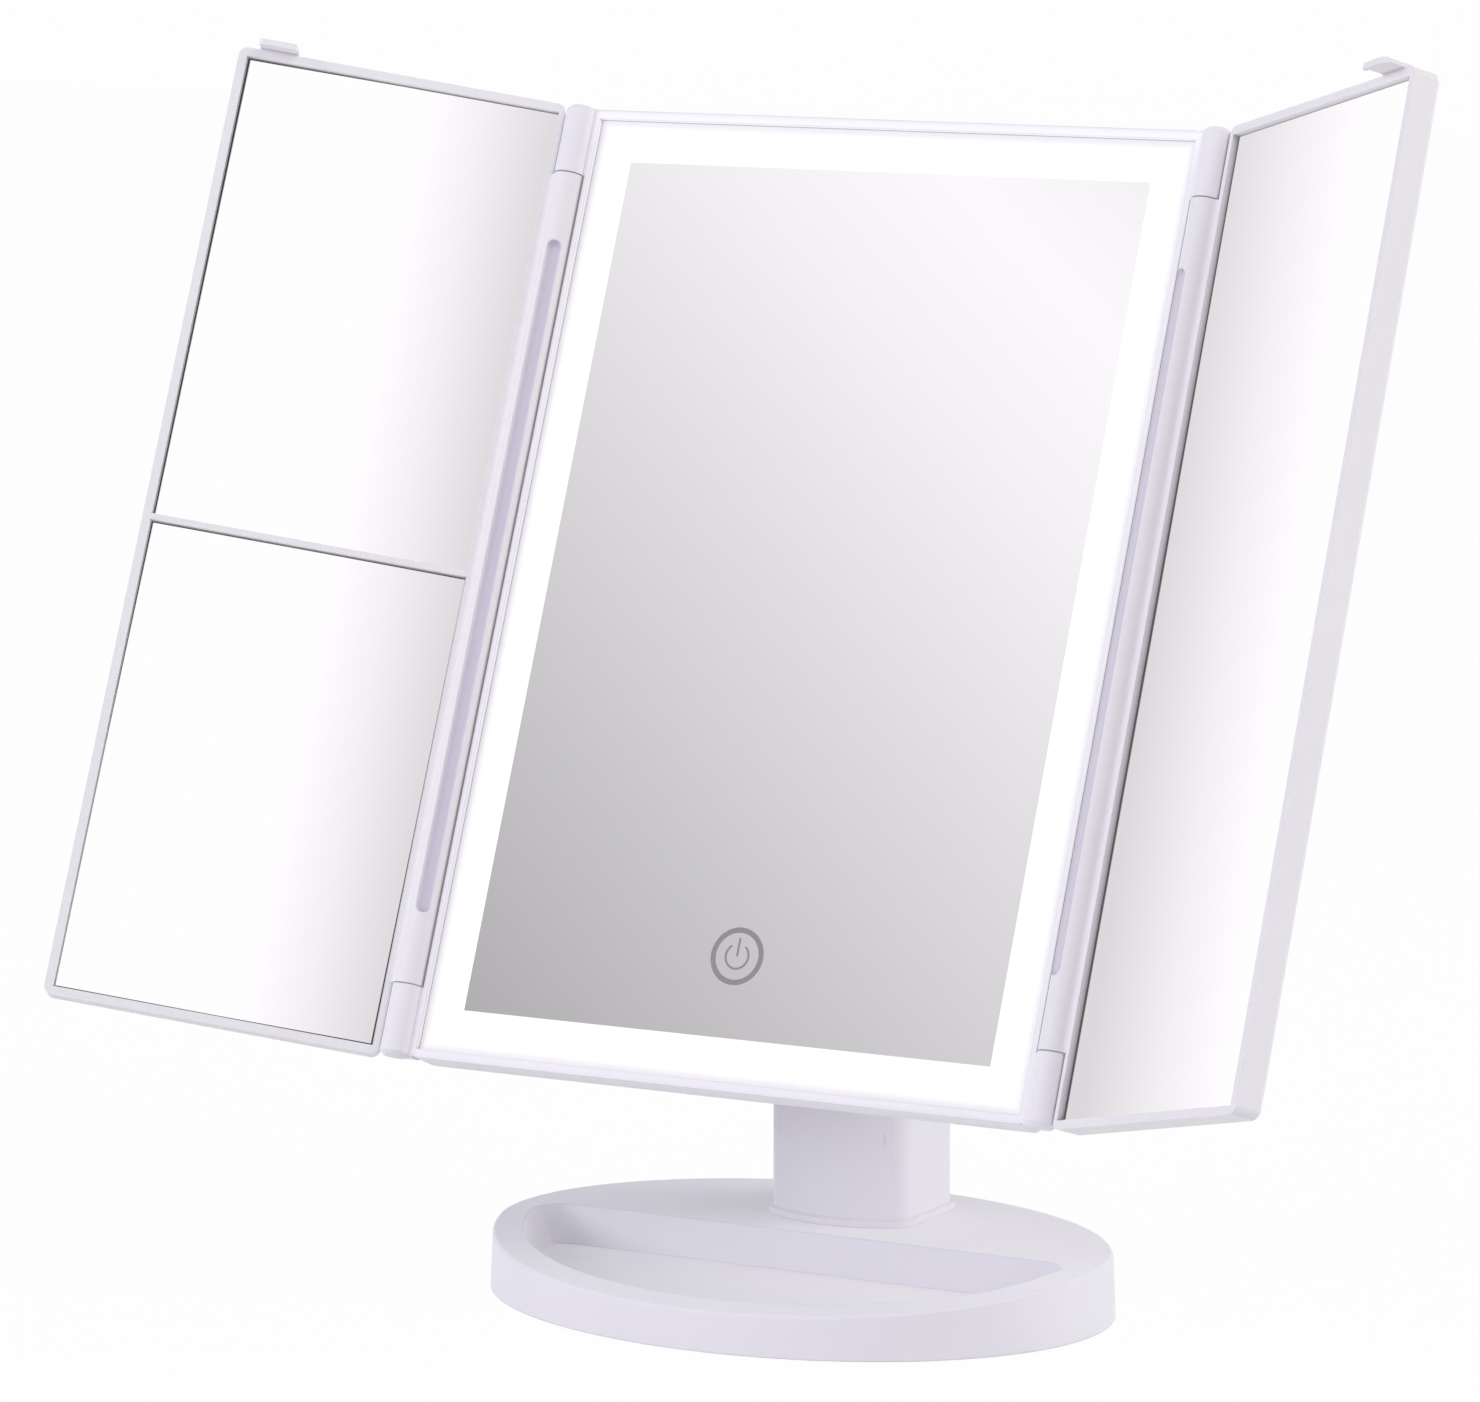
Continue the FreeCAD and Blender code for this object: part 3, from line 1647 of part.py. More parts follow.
def make_wing_frame(name, side, split, placement):
    """A moulded tray for the panes, with the hinge barrel and the latch hook on it."""
    body = new_body(name)
    back = d.wing_set + d.wing_thickness
    outer = sketch_on(body, "front", -back)
    rectangle(outer, side * wing_start, side * wing_end, -half_wing, half_wing)
    pad(body, outer, d.wing_thickness)
    round_edges(body, lambda edge: runs_along(edge, "y"), d.wing_corner)
    rear = back.number
    round_edges(body, lambda edge: flat_at(edge, "y", rear), d.wing_back_edge, "Chamfer")
    # barrel, the web behind it, and the blend from the barrel's crest to the rail
    barrel = sketch_on(body, "top", -barrel_half)
    circle(barrel, ZERO, ZERO, d.knuckle_radius)
    pad(body, barrel, barrel_half * 2)
    web = sketch_on(body, "top", -barrel_half)
    web_end = wing_start + d.web_overlap
    rectangle(web, ZERO, side * web_end, d.wing_set, d.knuckle_radius)
    pad(body, web, barrel_half * 2)
    reach = d.knuckle_radius + d.barrel_blend
    drop = d.barrel_blend - d.wing_set
    blend_end = root(reach * reach - drop * drop)
    share = d.knuckle_radius / reach
    blend = sketch_on(body, "top", -barrel_half)
    crest = (side * share * blend_end, -(share * drop))
    crest_foot = (side * (share * blend_end - d.web_overlap), d.wing_set + d.web_overlap)
    shore = (side * blend_end, d.wing_set)
    shore_foot = (side * blend_end, d.wing_set + d.web_overlap)
    way_round = [crest, shore, shore_foot, crest_foot]
    if side > 0:
        way_round = [shore, crest, crest_foot, shore_foot]
    outline(blend, way_round, {0: (d.barrel_blend, 1)})
    pad(body, blend, barrel_half * 2)
    # pane openings
    rest = sketch_on(body, "front", -d.wing_set)
    if split:
        low_edge = d.divider_z - d.divider_width / 2
        high_edge = d.divider_z + d.divider_width / 2
        rectangle(rest, side * opening_start, side * opening_end, -opening_high, low_edge)
        rectangle(rest, side * opening_start, side * opening_end, high_edge, opening_high)
    else:
        rectangle(rest, side * opening_start, side * opening_end, -opening_high, opening_high)
    pocket(body, rest, tray_floor_y - d.wing_set)
    # the long finger groove in the barrel, on the side that faces the user
    groove = sketch_on(body, "front", d.knuckle_radius - d.groove_depth)
    half_groove = d.groove_width / 2
    rectangle(groove, -half_groove, half_groove, -d.groove_half_length, d.groove_half_length)
    pocket(body, groove, d.groove_depth + d.over_cut, towards_normal=True)
    ends = d.groove_half_length.number
    deep = (d.knuckle_radius - d.groove_depth).number
    round_edges(
        body,
        lambda edge: runs_along(edge, "y")
        and near(abs(edge.BoundBox.ZMin), ends)
        and edge.BoundBox.YMax < -deep + 0.5,
        half_groove - d.groove_end_flat,
    )
    round_edges(body, lambda edge: flat_at(edge, "y", -deep), d.groove_round)
    # pin bores
    for end in (-1, 1):
        bore = sketch_on(body, "top", end * barrel_half)
        circle(bore, ZERO, ZERO, d.pin_radius + d.pin_fit)
        pocket(body, bore, d.pin_grip + 2 * d.pin_end_play, towards_normal=end < 0)
    # latch hook: foot, plate that reaches over the frame, lip
    hook_end = d.hook_start + d.hook_width
    hook_top = half_wing + d.hook_rise
    foot = sketch_on(body, "front", -(d.wing_set + d.hook_foot))
    rectangle(foot, side * d.hook_start, side * hook_end, half_wing - d.hook_root, hook_top)
    pad(body, foot, d.hook_foot)
    plate = sketch_on(body, "front", -d.wing_set)
    rectangle(plate, side * d.hook_start, side * hook_end, hook_top - d.hook_plate, hook_top)
    pad(body, plate, d.hook_reach)
    lip = sketch_on(body, "front", -d.wing_set + d.hook_reach - d.hook_lip)
    rectangle(
        lip,
        side * d.hook_start,
        side * hook_end,
        hook_top - d.hook_plate - d.hook_lip_drop,
        hook_top,
    )
    pad(body, lip, d.hook_lip)
    high = hook_top.number
    tip = (d.wing_set - d.hook_reach).number
    round_edges(
        body,
        lambda edge: runs_along(edge, "z")
        and near(edge.BoundBox.YMin, tip)
        and edge.BoundBox.ZMax > high - 0.01,
        d.hook_corner,
    )
    return node(name, body, placement)


def make_pane(name, side, low, high, placement):
    body = new_body(name)
    shape = sketch_on(body, "front", -pane_back)
    gap = d.pane_fit
    rectangle(
        shape,
        side * (opening_start + gap),
        side * (opening_end - gap),
        low + gap,
        high - gap,
    )
    pad(body, shape, d.pane_thickness)
    return node(name, body, placement)


def make_tape(name, side, spans, placement):
    """Foam tape between the tray's floor and the panes."""
    strips = []
    wide = 10.0
    for number, (low, high) in enumerate(spans):
        for step, start in enumerate((opening_start + d.tape_margin, opening_end - d.tape_margin - wide)):
            near_x = side * start
            far_x = side * (start + wide)
            left, right = (near_x, far_x) if side > 0 else (far_x, near_x)
            strips.append(
                box(
                    "%s_%d_%d" % (name, number, step),
                    left,
                    right,
                    pane_back,
                    tray_floor_y,
                    low + d.tape_margin,
                    high - d.tape_margin,
                )
            )
    return node(name, group(name, strips), placement)


divider_low = d.divider_z - d.divider_width / 2
divider_high = d.divider_z + d.divider_width / 2

# ---------------------------------------------------------------- build

make_base_shell()
make_base_cover()
make_pad()
make_ballast()
node(
    "base_cover_screws",
    group(
        "base_cover_screws",
        [
            screw("cover_screw_%d" % number, x, y, cover_low, "z")
            for number, (x, y) in enumerate(cover_screw_places)
        ],
    ),
)
node(
    "post_screws",
    group(
        "post_screws",
        [
            screw("post_screw_%d" % number, x, y, base_top - d.base_wall, "z", d.screw_length - 1.0)
            for number, (x, y) in enumerate(post_screw_places)
        ],
    ),
)
make_post_shell()
make_post_rear_cover()
node(
    "rear_cover_screws",
    group(
        "rear_cover_screws",
        [
            screw("rear_screw_%d" % (side + 1), side * d.rear_screw_x, post_back, rear_screw_z, "-y")
            for side in (-1, 1)
        ],
    ),
)
make_battery_door()
make_battery_tray()
make_batteries()
make_contacts()
make_bolt()
make_nut()
make_washers()
make_caps()
make_power_board()
make_socket()
make_switch()
make_knob()
make_panel_frame()
make_wing_pins()
make_panel_rear_cover()
make_panel_screws()
make_diffuser()
make_center_mirror()
make_led_boards()
make_leds()
make_touch_pad()
make_touch_contact()
make_control_board()
make_wing_frame("left_wing_frame", -1, True, LEFT)
make_pane("left_upper_mirror", -1, divider_high, opening_high, LEFT)
make_pane("left_lower_mirror", -1, -opening_high, divider_low, LEFT)
make_tape("left_mirror_tape", -1, [(-opening_high, divider_low), (divider_high, opening_high)], LEFT)
make_wing_frame("right_wing_frame", 1, False, RIGHT)
make_pane("right_mirror", 1, -opening_high, opening_high, RIGHT)
make_tape("right_mirror_tape", 1, [(-opening_high, opening_high)], RIGHT)

doc.recompute()
for item in doc.Objects:
    if "Invalid" in item.State or "Error" in item.State:
        raise RuntimeError("failed object: " + item.Label)
for name, thing in nodes.items():
    if thing.Shape.isNull() or not thing.Shape.isValid() or not thing.Shape.Solids:
        raise RuntimeError("bad shape: " + name)

os.makedirs("parts", exist_ok=True)
for name, thing in nodes.items():
    thing.Shape.exportStep("parts/%s.step" % name)
print("%d sub-parts written" % len(nodes))
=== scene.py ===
import json
import math

import bmesh
import bpy
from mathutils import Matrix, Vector


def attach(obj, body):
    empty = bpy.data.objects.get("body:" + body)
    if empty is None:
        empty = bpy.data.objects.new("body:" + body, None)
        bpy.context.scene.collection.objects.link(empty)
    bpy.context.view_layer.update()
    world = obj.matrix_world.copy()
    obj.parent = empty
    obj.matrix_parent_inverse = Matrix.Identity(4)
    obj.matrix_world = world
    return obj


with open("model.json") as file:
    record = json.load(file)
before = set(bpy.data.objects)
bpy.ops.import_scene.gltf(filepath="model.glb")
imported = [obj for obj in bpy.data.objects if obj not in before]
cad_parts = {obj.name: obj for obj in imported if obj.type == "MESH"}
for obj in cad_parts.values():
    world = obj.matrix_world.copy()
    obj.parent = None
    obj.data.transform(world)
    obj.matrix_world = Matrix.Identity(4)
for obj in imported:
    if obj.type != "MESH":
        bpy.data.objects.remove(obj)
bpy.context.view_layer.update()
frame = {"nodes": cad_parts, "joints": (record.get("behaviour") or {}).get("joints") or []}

MM = 0.001

# ------------------------------------------------------------------ places, from the frame

NODES = frame["nodes"]
JOINTS = {joint["name"]: joint for joint in frame["joints"]}
LEFT_HINGE = Vector(JOINTS["left_wing_fold"]["pos_m"])
RIGHT_HINGE = Vector(JOINTS["right_wing_fold"]["pos_m"])
PANEL_CENTRE = (LEFT_HINGE + RIGHT_HINGE) / 2
ACROSS = (RIGHT_HINGE - LEFT_HINGE).normalized()
UPWARD = Vector(JOINTS["left_wing_fold"]["axis"]).normalized()
OUTWARD = ACROSS.cross(UPWARD).normalized()

# sizes that the CAD model has, in radians and metres
LEFT_FOLD = math.radians(27.2)
RIGHT_FOLD = math.radians(36.4)
WINDOW_HALF_WIDTH = 80.6 * MM
WINDOW_HALF_HEIGHT = 117.4 * MM
GLASS_DEPTH = 1.2 * MM            # the centre mirror, behind the plane of the hinge axes
GROOVE_HALF_LENGTH = 84.9 * MM
GROOVE_FLOOR_RADIUS = 2.4 * MM    # from the hinge axis
GROOVE_EDGE_RADIUS = 3.5 * MM
TOUCH_DROP = 87.1 * MM            # the touch mark, below the panel's centre

# the way from each hinge along its wing
LEFT_REACH = -ACROSS * math.cos(LEFT_FOLD) + OUTWARD * math.sin(LEFT_FOLD)
RIGHT_REACH = ACROSS * math.cos(RIGHT_FOLD) + OUTWARD * math.sin(RIGHT_FOLD)


def on_panel(u, v, n):
    """A point of the centre panel: u to the right, v up, n out of the mirror."""
    return PANEL_CENTRE + ACROSS * u + UPWARD * v + OUTWARD * n


def reaches(node, direction):
    """How far a node reaches along a direction, as (from, to)."""
    places = [vertex.co.dot(direction) for vertex in NODES[node].data.vertices]
    return min(places), max(places)


# ------------------------------------------------------------------ colours

def linear(level):
    """An sRGB level of 0 to 255 as linear light."""
    share = level / 255.0
    return share / 12.92 if share <= 0.04045 else ((share + 0.055) / 1.055) ** 2.4


def colour(red, green, blue):
    """A colour for a node, from sRGB levels."""
    return (linear(red), linear(green), linear(blue), 1.0)


def grey(level):
    """A neutral colour for a node, from an sRGB level."""
    return colour(level, level, level)


# the dimmer and the brighter tone of each shell's faint clouds
SHELL_TONES = colour(234, 232, 237), colour(237, 235, 240)
LEFT_WING_TONES = colour(234, 232, 235), colour(237, 235, 238)
# the right wing's tones are darker than the other shells': painted shade on that wing
RIGHT_WING_SHADED_TONES = colour(231, 229, 232), colour(234, 232, 235)
INNER_TONES = colour(214, 213, 217), colour(222, 221, 225)

# painted shade on the finger groove's floor
GROOVE_PAINTED_SHADE = colour(229, 226, 238)
# painted shade and reflection: the dark line along a pane's edge, for the frame wall's shadow
# and its dark reflection
EDGE_PAINTED_SHADE = colour(62, 60, 66)
STUDIO_WHITE = colour(255, 254, 255)
SKY_TINT = (0.86, 0.86, 1.0, 1.0)


# ------------------------------------------------------------------ node helpers

# where a Mix node keeps its colour sockets
MIX_FIRST, MIX_SECOND, MIX_RESULT = 6, 7, 2


class Tree:
    """A node tree that is built by short calls."""

    def __init__(self, tree):
        self.nodes = tree.nodes
        self.links = tree.links

    def add(self, kind, **settings):
        """A new node with its settings."""
        node = self.nodes.new(kind)
        for key, value in settings.items():
            setattr(node, key, value)
        return node

    def feed(self, value, socket):
        """Link an output to a socket, or set the socket to a number, vector or colour."""
        if isinstance(value, bpy.types.NodeSocket):
            self.links.new(value, socket)
        else:
            socket.default_value = value

    def math(self, operation, *values):
        """The result of a math node over outputs and numbers."""
        node = self.add("ShaderNodeMath", operation=operation)
        for value, socket in zip(values, node.inputs):
            self.feed(value, socket)
        return node.outputs[0]

    def glow(self, kind, tint, strength):
        """Light of one colour and strength, from a node of the kind named."""
        node = self.add(kind)
        self.feed(tint, node.inputs["Color"])
        self.feed(strength, node.inputs["Strength"])
        return node.outputs[0]

    def blended(self, share, first, second):
        """Two shaders mixed: the first where share is 0, the second where it is 1."""
        node = self.add("ShaderNodeMixShader")
        for value, socket in zip((share, first, second), node.inputs):
            self.feed(value, socket)
        return node.outputs[0]


class Shader(Tree):
    """A material over a Principled BSDF, in the coordinates of the piece."""

    def __init__(self, name):
        self.material = bpy.data.materials.new(name)
        self.material.use_nodes = True
        super().__init__(self.material.node_tree)
        self.principled = self.nodes["Principled BSDF"]
        self.position = self.add("ShaderNodeTexCoord").outputs["Object"]

    def set(self, **values):
        """Feed the Principled BSDF; an underscore stands for the space in a socket's name."""
        for key, value in values.items():
            self.feed(value, self.principled.inputs[key.replace("_", " ")])

    def along(self, direction, origin=(0.0, 0.0, 0.0)):
        """How far a point of the surface lies along a direction from an origin, in metres."""
        shift = self.add("ShaderNodeVectorMath", operation="SUBTRACT")
        self.feed(self.position, shift.inputs[0])
        self.feed(origin, shift.inputs[1])
        dot = self.add("ShaderNodeVectorMath", operation="DOT_PRODUCT")
        self.feed(shift.outputs[0], dot.inputs[0])
        self.feed(direction, dot.inputs[1])
        return dot.outputs["Value"]

    def noise(self, scale, detail=3.0, roughness=0.5, stretch=(1, 1, 1)):
        """Noise over the piece, as values about 0.5."""
        mapping = self.add("ShaderNodeMapping")
        self.feed(stretch, mapping.inputs["Scale"])
        self.feed(self.position, mapping.inputs["Vector"])
        node = self.add("ShaderNodeTexNoise")
        self.feed(scale, node.inputs["Scale"])
        self.feed(detail, node.inputs["Detail"])
        self.feed(roughness, node.inputs["Roughness"])
        self.feed(mapping.outputs[0], node.inputs["Vector"])
        return node.outputs["Fac"]

    def scaled(self, value, low, high):
        """value mapped from low..high to 0..1."""
        node = self.add("ShaderNodeMapRange", clamp=True)
        self.feed(value, node.inputs["Value"])
        self.feed(low, node.inputs["From Min"])
        self.feed(high, node.inputs["From Max"])
        return node.outputs["Result"]

    def ramp(self, value, stops):
        """The colour at value between stops of (place, colour)."""
        node = self.add("ShaderNodeValToRGB")
        elements = node.color_ramp.elements
        while len(elements) < len(stops):
            elements.new(0.5)
        for element, (place, shade) in zip(elements, stops):
            element.position = place
            element.color = shade
        self.feed(value, node.inputs["Fac"])
        return node.outputs["Color"]

    def grey_ramp(self, value, stops):
        """The grey at value between stops of (place, sRGB level)."""
        return self.ramp(value, [(place, grey(level)) for place, level in stops])

    def tinted(self, value, dark, light, low=0.3, high=0.7):
        """A colour from dark at low to light at high."""
        return self.ramp(value, [(low, dark), (high, light)])

    def mixed(self, share, first, second, blend="MIX"):
        """Two colours mixed; each one is an output or a colour."""
        node = self.add("ShaderNodeMix", data_type="RGBA", blend_type=blend)
        self.feed(share, node.inputs["Factor"])
        self.feed(first, node.inputs[MIX_FIRST])
        self.feed(second, node.inputs[MIX_SECOND])
        return node.outputs[MIX_RESULT]

    def multiplied(self, first, second):
        """The product of two colours."""
        return self.mixed(1.0, first, second, "MULTIPLY")

    def roughness(self, value, low, high):
        """Roughness from low to high as value goes from 0 to 1."""
        node = self.add("ShaderNodeMapRange")
        self.feed(value, node.inputs["Value"])
        self.feed(low, node.inputs["To Min"])
        self.feed(high, node.inputs["To Max"])
        self.set(Roughness=node.outputs["Result"])

    def bump(self, height, distance, strength, edge=0.0):
        """Bump from a height. edge is the radius that softens the edges, where it is given."""
        node = self.add("ShaderNodeBump")
        self.feed(strength, node.inputs["Strength"])
        self.feed(distance, node.inputs["Distance"])
        self.feed(height, node.inputs["Height"])
        if edge:
            bevel = self.add("ShaderNodeBevel", samples=6)
            self.feed(edge, bevel.inputs["Radius"])
            self.feed(bevel.outputs["Normal"], node.inputs["Normal"])
        self.set(Normal=node.outputs["Normal"])


# ------------------------------------------------------------------ materials that are seen

# painted shade: gaps and creases darkened in the plastic's colour by ambient occlusion
CREASE_REACH = 2.4 * MM           # how near the walls of a gap are
DEEPEST_CREASE_PAINTED_SHADE = (0.2, grey(160))   # the open share of the sky in the deepest gaps, their tone
# painted light: the glow on the frame's rim round the window
RIM_REACH = 2.6 * MM              # how far the border's light glows into the frame's rim
RIM_FRONT = -3.0 * MM, -1.0 * MM  # where that glow starts and is full, out of the panel
BORDER_SHADE = 0.2 * MM, 3.4 * MM  # where the shade on the lit border is deepest and ends
BORDER_RIPPLE = 0.5 * MM
LEFT_SHADE_SHARE = 0.8            # the shade at the border's left is wider by 1 / 0.8
EDGE_SHADE_SOFTNESS = 0.76, 1.24           # how soft the dark line is, in shares of its width


def groove_painted_shade(shader, hinge):
    """Painted shade: a darker tone on the finger groove's floor, which lies inside the barrel's
    radius.
    """
    squares = [
        shader.math("MULTIPLY", away, away)
        for away in (shader.along(ACROSS, hinge), shader.along(OUTWARD, hinge))
    ]
    radius = shader.math("SQRT", shader.math("ADD", *squares))
    height = shader.scaled(radius, GROOVE_FLOOR_RADIUS, GROOVE_EDGE_RADIUS)
    rise = shader.math("ABSOLUTE", shader.along(UPWARD, PANEL_CENTRE))
    past_end = shader.math("GREATER_THAN", rise, GROOVE_HALF_LENGTH)
    height = shader.math("MAXIMUM", height, past_end)
    return shader.ramp(height, [(0.0, GROOVE_PAINTED_SHADE), (1.0, grey(255))])


def white_abs(name, tones, shine=(0.30, 0.40), edge=0.5 * MM, creases=0.0, hinge=None):
    """Satin moulded plastic with faint flow clouds. edge gives it a fine skin over softened
    edges. creases is the open share of the sky below which painted shade darkens its gaps.
    hinge is the axis of its finger groove, whose floor gets painted shade."""
    shader = Shader(name)
    tone = shader.tinted(shader.noise(18.0, detail=4.0, roughness=0.55), *tones)
    # painted shade: gaps and creases darkened by ambient occlusion
    if creases:
        sky = shader.add("ShaderNodeAmbientOcclusion", samples=16)
        shader.feed(CREASE_REACH, sky.inputs["Distance"])
        shade = shader.ramp(sky.outputs["AO"], [DEEPEST_CREASE_PAINTED_SHADE, (creases, grey(255))])
        tone = shader.multiplied(tone, shade)
    # painted shade on the finger groove's floor
    if hinge is not None:
        tone = shader.multiplied(tone, groove_painted_shade(shader, hinge))
    shader.set(Base_Color=tone, IOR=1.5)
    shader.roughness(shader.noise(160.0, detail=2.0), *shine)
    if edge:
        skin = shader.noise(1800.0, detail=2.0)
        shader.bump(skin, distance=0.004 * MM, strength=0.2, edge=edge)
    return shader


def painted_rim_glow(shader):
    """Painted light: a glow on the frame's rim round the window, standing for the border's
    light coming through it, strongest at the top.
    """
    side = shader.math("ABSOLUTE", shader.along(ACROSS, PANEL_CENTRE))
    rise = shader.along(UPWARD, PANEL_CENTRE)
    past_side = shader.math("SUBTRACT", side, WINDOW_HALF_WIDTH)
    past_end = shader.math("SUBTRACT", shader.math("ABSOLUTE", rise), WINDOW_HALF_HEIGHT)
    outside = shader.scaled(shader.math("MAXIMUM", past_side, past_end), 0.0, RIM_REACH)
    near = shader.grey_ramp(outside, [(0.0, 96), (0.5, 84), (1.0, 0)])
    height = shader.scaled(rise, -WINDOW_HALF_HEIGHT, WINDOW_HALF_HEIGHT)
    share = shader.grey_ramp(height, [(0.0, 176), (0.5, 191), (0.96, 196), (1.0, 255)])
    front = shader.scaled(shader.along(OUTWARD, PANEL_CENTRE), *RIM_FRONT)
    glow = shader.multiplied(shader.multiplied(near, share), front)
    shader.set(Emission_Color=glow, Emission_Strength=1.6)
    return shader


def opal_acrylic():
    """The lit border: even white light that falls off in the shade of the frame's wall."""
    shader = Shader("opal_light")
    side = shader.along(ACROSS, PANEL_CENTRE)
    end = shader.math("ABSOLUTE", shader.along(UPWARD, PANEL_CENTRE))
    to_left = shader.math("ADD", side, WINDOW_HALF_WIDTH)
    to_left = shader.math("MULTIPLY", to_left, LEFT_SHADE_SHARE)
    to_right = shader.math("SUBTRACT", WINDOW_HALF_WIDTH, side)
    to_end = shader.math("SUBTRACT", WINDOW_HALF_HEIGHT, end)
    to_wall = shader.math("MINIMUM", shader.math("MINIMUM", to_left, to_right), to_end)
    ripple = shader.math("MULTIPLY", shader.noise(320.0, detail=2.0), BORDER_RIPPLE)
    reach = shader.scaled(shader.math("ADD", to_wall, ripple), *BORDER_SHADE)
    stops = [(0.0, 156), (0.17, 166), (0.33, 173), (0.48, 181), (0.64, 187), (1.0, 194)]
    shader.set(
        Base_Color=shader.ramp(reach, [(0.0, colour(184, 181, 186)), (1.0, grey(190))]),
        Roughness=0.32,
        Emission_Color=shader.grey_ramp(reach, stops),
        Emission_Strength=1.0,
    )
    shader.bump(shader.noise(1800.0, detail=2.0), distance=0.01 * MM, strength=0.2)
    return shader


def silvered_glass(name, tone, node=None, lines=()):
    """Silvered glass. tone paints into its colour the soft studio gradient that it seems to
    reflect: a painted reflection. lines lists the sides of the node with a painted dark line of
    shade and reflection along the pane's edge, as (direction of the side, direction along it,
    three widths of the line in mm at the start, the middle and the end)."""
    shader = Shader(name)
    shade = tone(shader)
    # painted shade and reflection: a dark line along the listed edges of the pane
    nearest = None
    for side, run, widths in lines:
        gap = shader.math("SUBTRACT", reaches(node, side)[1], shader.along(side))
        width = shader.ramp(
            shader.scaled(shader.along(run), *reaches(node, run)),
            [(place, (wide, wide, wide, 1.0)) for place, wide in zip((0.0, 0.5, 1.0), widths)],
        )
        share = shader.math("DIVIDE", gap, shader.math("MULTIPLY", width, MM))
        nearest = share if nearest is None else shader.math("MINIMUM", nearest, share)
    if lines:
        shade = shader.mixed(shader.scaled(nearest, *EDGE_SHADE_SOFTNESS), EDGE_PAINTED_SHADE, shade)
    shader.set(Base_Color=shade, Metallic=1.0)
    shader.roughness(shader.noise(40.0), 0.0, 0.015)
    return shader


def centre_painted_reflection(shader):
    """Painted reflection: darker at the lower left, lighter towards the upper right."""
    across_pace, upward_pace, half_span = 0.23 / MM, 0.28 / MM, 48.0
    side = shader.math("MULTIPLY", shader.along(ACROSS, PANEL_CENTRE), across_pace)
    rise = shader.math("MULTIPLY", shader.along(UPWARD, PANEL_CENTRE), upward_pace)
    place = shader.scaled(shader.math("ADD", side, rise), -half_span, half_span)
    stops = [(0.0, 174), (0.25, 199), (0.5, 223), (0.72, 243), (0.86, 251), (1.0, 243)]
    return shader.ramp(
        place, [(at, colour(level + 0.4, level - 1.0, level + 0.4)) for at, level in stops]
    )


def wing_painted_reflection(hinge, outward, near_level, white_at, lean=0.0):
    """Painted reflection: light grey beside the hinge, white from white_at metres outwards.
    lean tilts it.
    """
    grey_until = 6 * MM
    middle_level = near_level + (255 - near_level) * 0.66
    stops = [(0.0, near_level), (0.55, middle_level), (1.0, 257)]

    def tone(shader):
        reach = shader.along(outward, hinge)
        if lean:
            tilt = shader.math("MULTIPLY", shader.along(UPWARD, hinge), lean)
            reach = shader.math("ADD", reach, tilt)
        place = shader.scaled(reach, grey_until, white_at)
        return shader.ramp(
            place, [(at, colour(level, level - 2.4, level)) for at, level in stops]
        )

    return tone


def mark_ink():
    """The printed touch mark: frosted grey ink on the glass."""
    shader = Shader("touch_mark_ink")
    speck = shader.noise(4000.0, detail=2.0, roughness=0.6)
    shader.set(Base_Color=shader.tinted(speck, colour(141, 138, 139), colour(149, 146, 147)))
    shader.roughness(speck, 0.55, 0.7)
    return shader


# ------------------------------------------------------------------ materials of the inside

def brushed_steel():
    """Zinc-plated steel with a fine grain across its height."""
    shader = Shader("zinc_steel")
    grain = shader.noise(900.0, roughness=0.6, stretch=(1, 1, 12))
    tone = shader.tinted(grain, colour(150, 152, 156), colour(196, 198, 201))
    shader.set(Base_Color=tone, Metallic=1.0)
    shader.roughness(grain, 0.28, 0.45)
    shader.bump(grain, distance=0.01 * MM, strength=0.5, edge=0.15 * MM)
    return shader


def nickel():
    """Nickel-plated sheet, a little cloudy."""
    shader = Shader("nickel")
    cloud = shader.noise(700.0, detail=2.0)
    tone = shader.tinted(cloud, colour(188, 190, 196), colour(222, 223, 226))
    shader.set(Base_Color=tone, Metallic=1.0)
    shader.roughness(cloud, 0.16, 0.28)
    return shader


def pad_rubber():
    """Soft pad with a pattern of fine round studs."""
    shader = Shader("pad_rubber")
    cells = shader.add("ShaderNodeTexVoronoi", feature="F1")
    shader.feed(620.0, cells.inputs["Scale"])
    shader.feed(0.0, cells.inputs["Randomness"])
    shader.feed(shader.position, cells.inputs["Vector"])
    studs = shader.math("SUBTRACT", 1.0, cells.outputs["Distance"])
    tone = shader.tinted(studs, colour(186, 186, 190), colour(206, 206, 209), 0.4, 0.9)
    shader.set(Base_Color=tone, Roughness=0.82)
    shader.bump(studs, distance=0.12 * MM, strength=0.7)
    return shader


def solder_mask():
    """White solder mask over the weave of a circuit board."""
    shader = Shader("white_solder_mask")
    weave = shader.add("ShaderNodeTexBrick")
    shader.feed(900.0, weave.inputs["Scale"])
    shader.feed(colour(232, 234, 228), weave.inputs["Color1"])
    shader.feed(colour(226, 229, 222), weave.inputs["Color2"])
    shader.feed(colour(214, 217, 210), weave.inputs["Mortar"])
    shader.feed(0.04, weave.inputs["Mortar Size"])
    shader.feed(shader.position, weave.inputs["Vector"])
    shader.set(Base_Color=weave.outputs["Color"])
    shader.roughness(shader.noise(300.0), 0.35, 0.5)
    return shader


def led_package():
    """LED chips under yellow phosphor, lit."""
    shader = Shader("led_package")
    dome = shader.noise(1200.0, detail=1.0)
    shader.set(
        Base_Color=shader.tinted(dome, colour(244, 226, 140), colour(250, 240, 190)),
        Roughness=0.3,
        Emission_Color=colour(255, 250, 240),
        Emission_Strength=1.2,
    )
    return shader


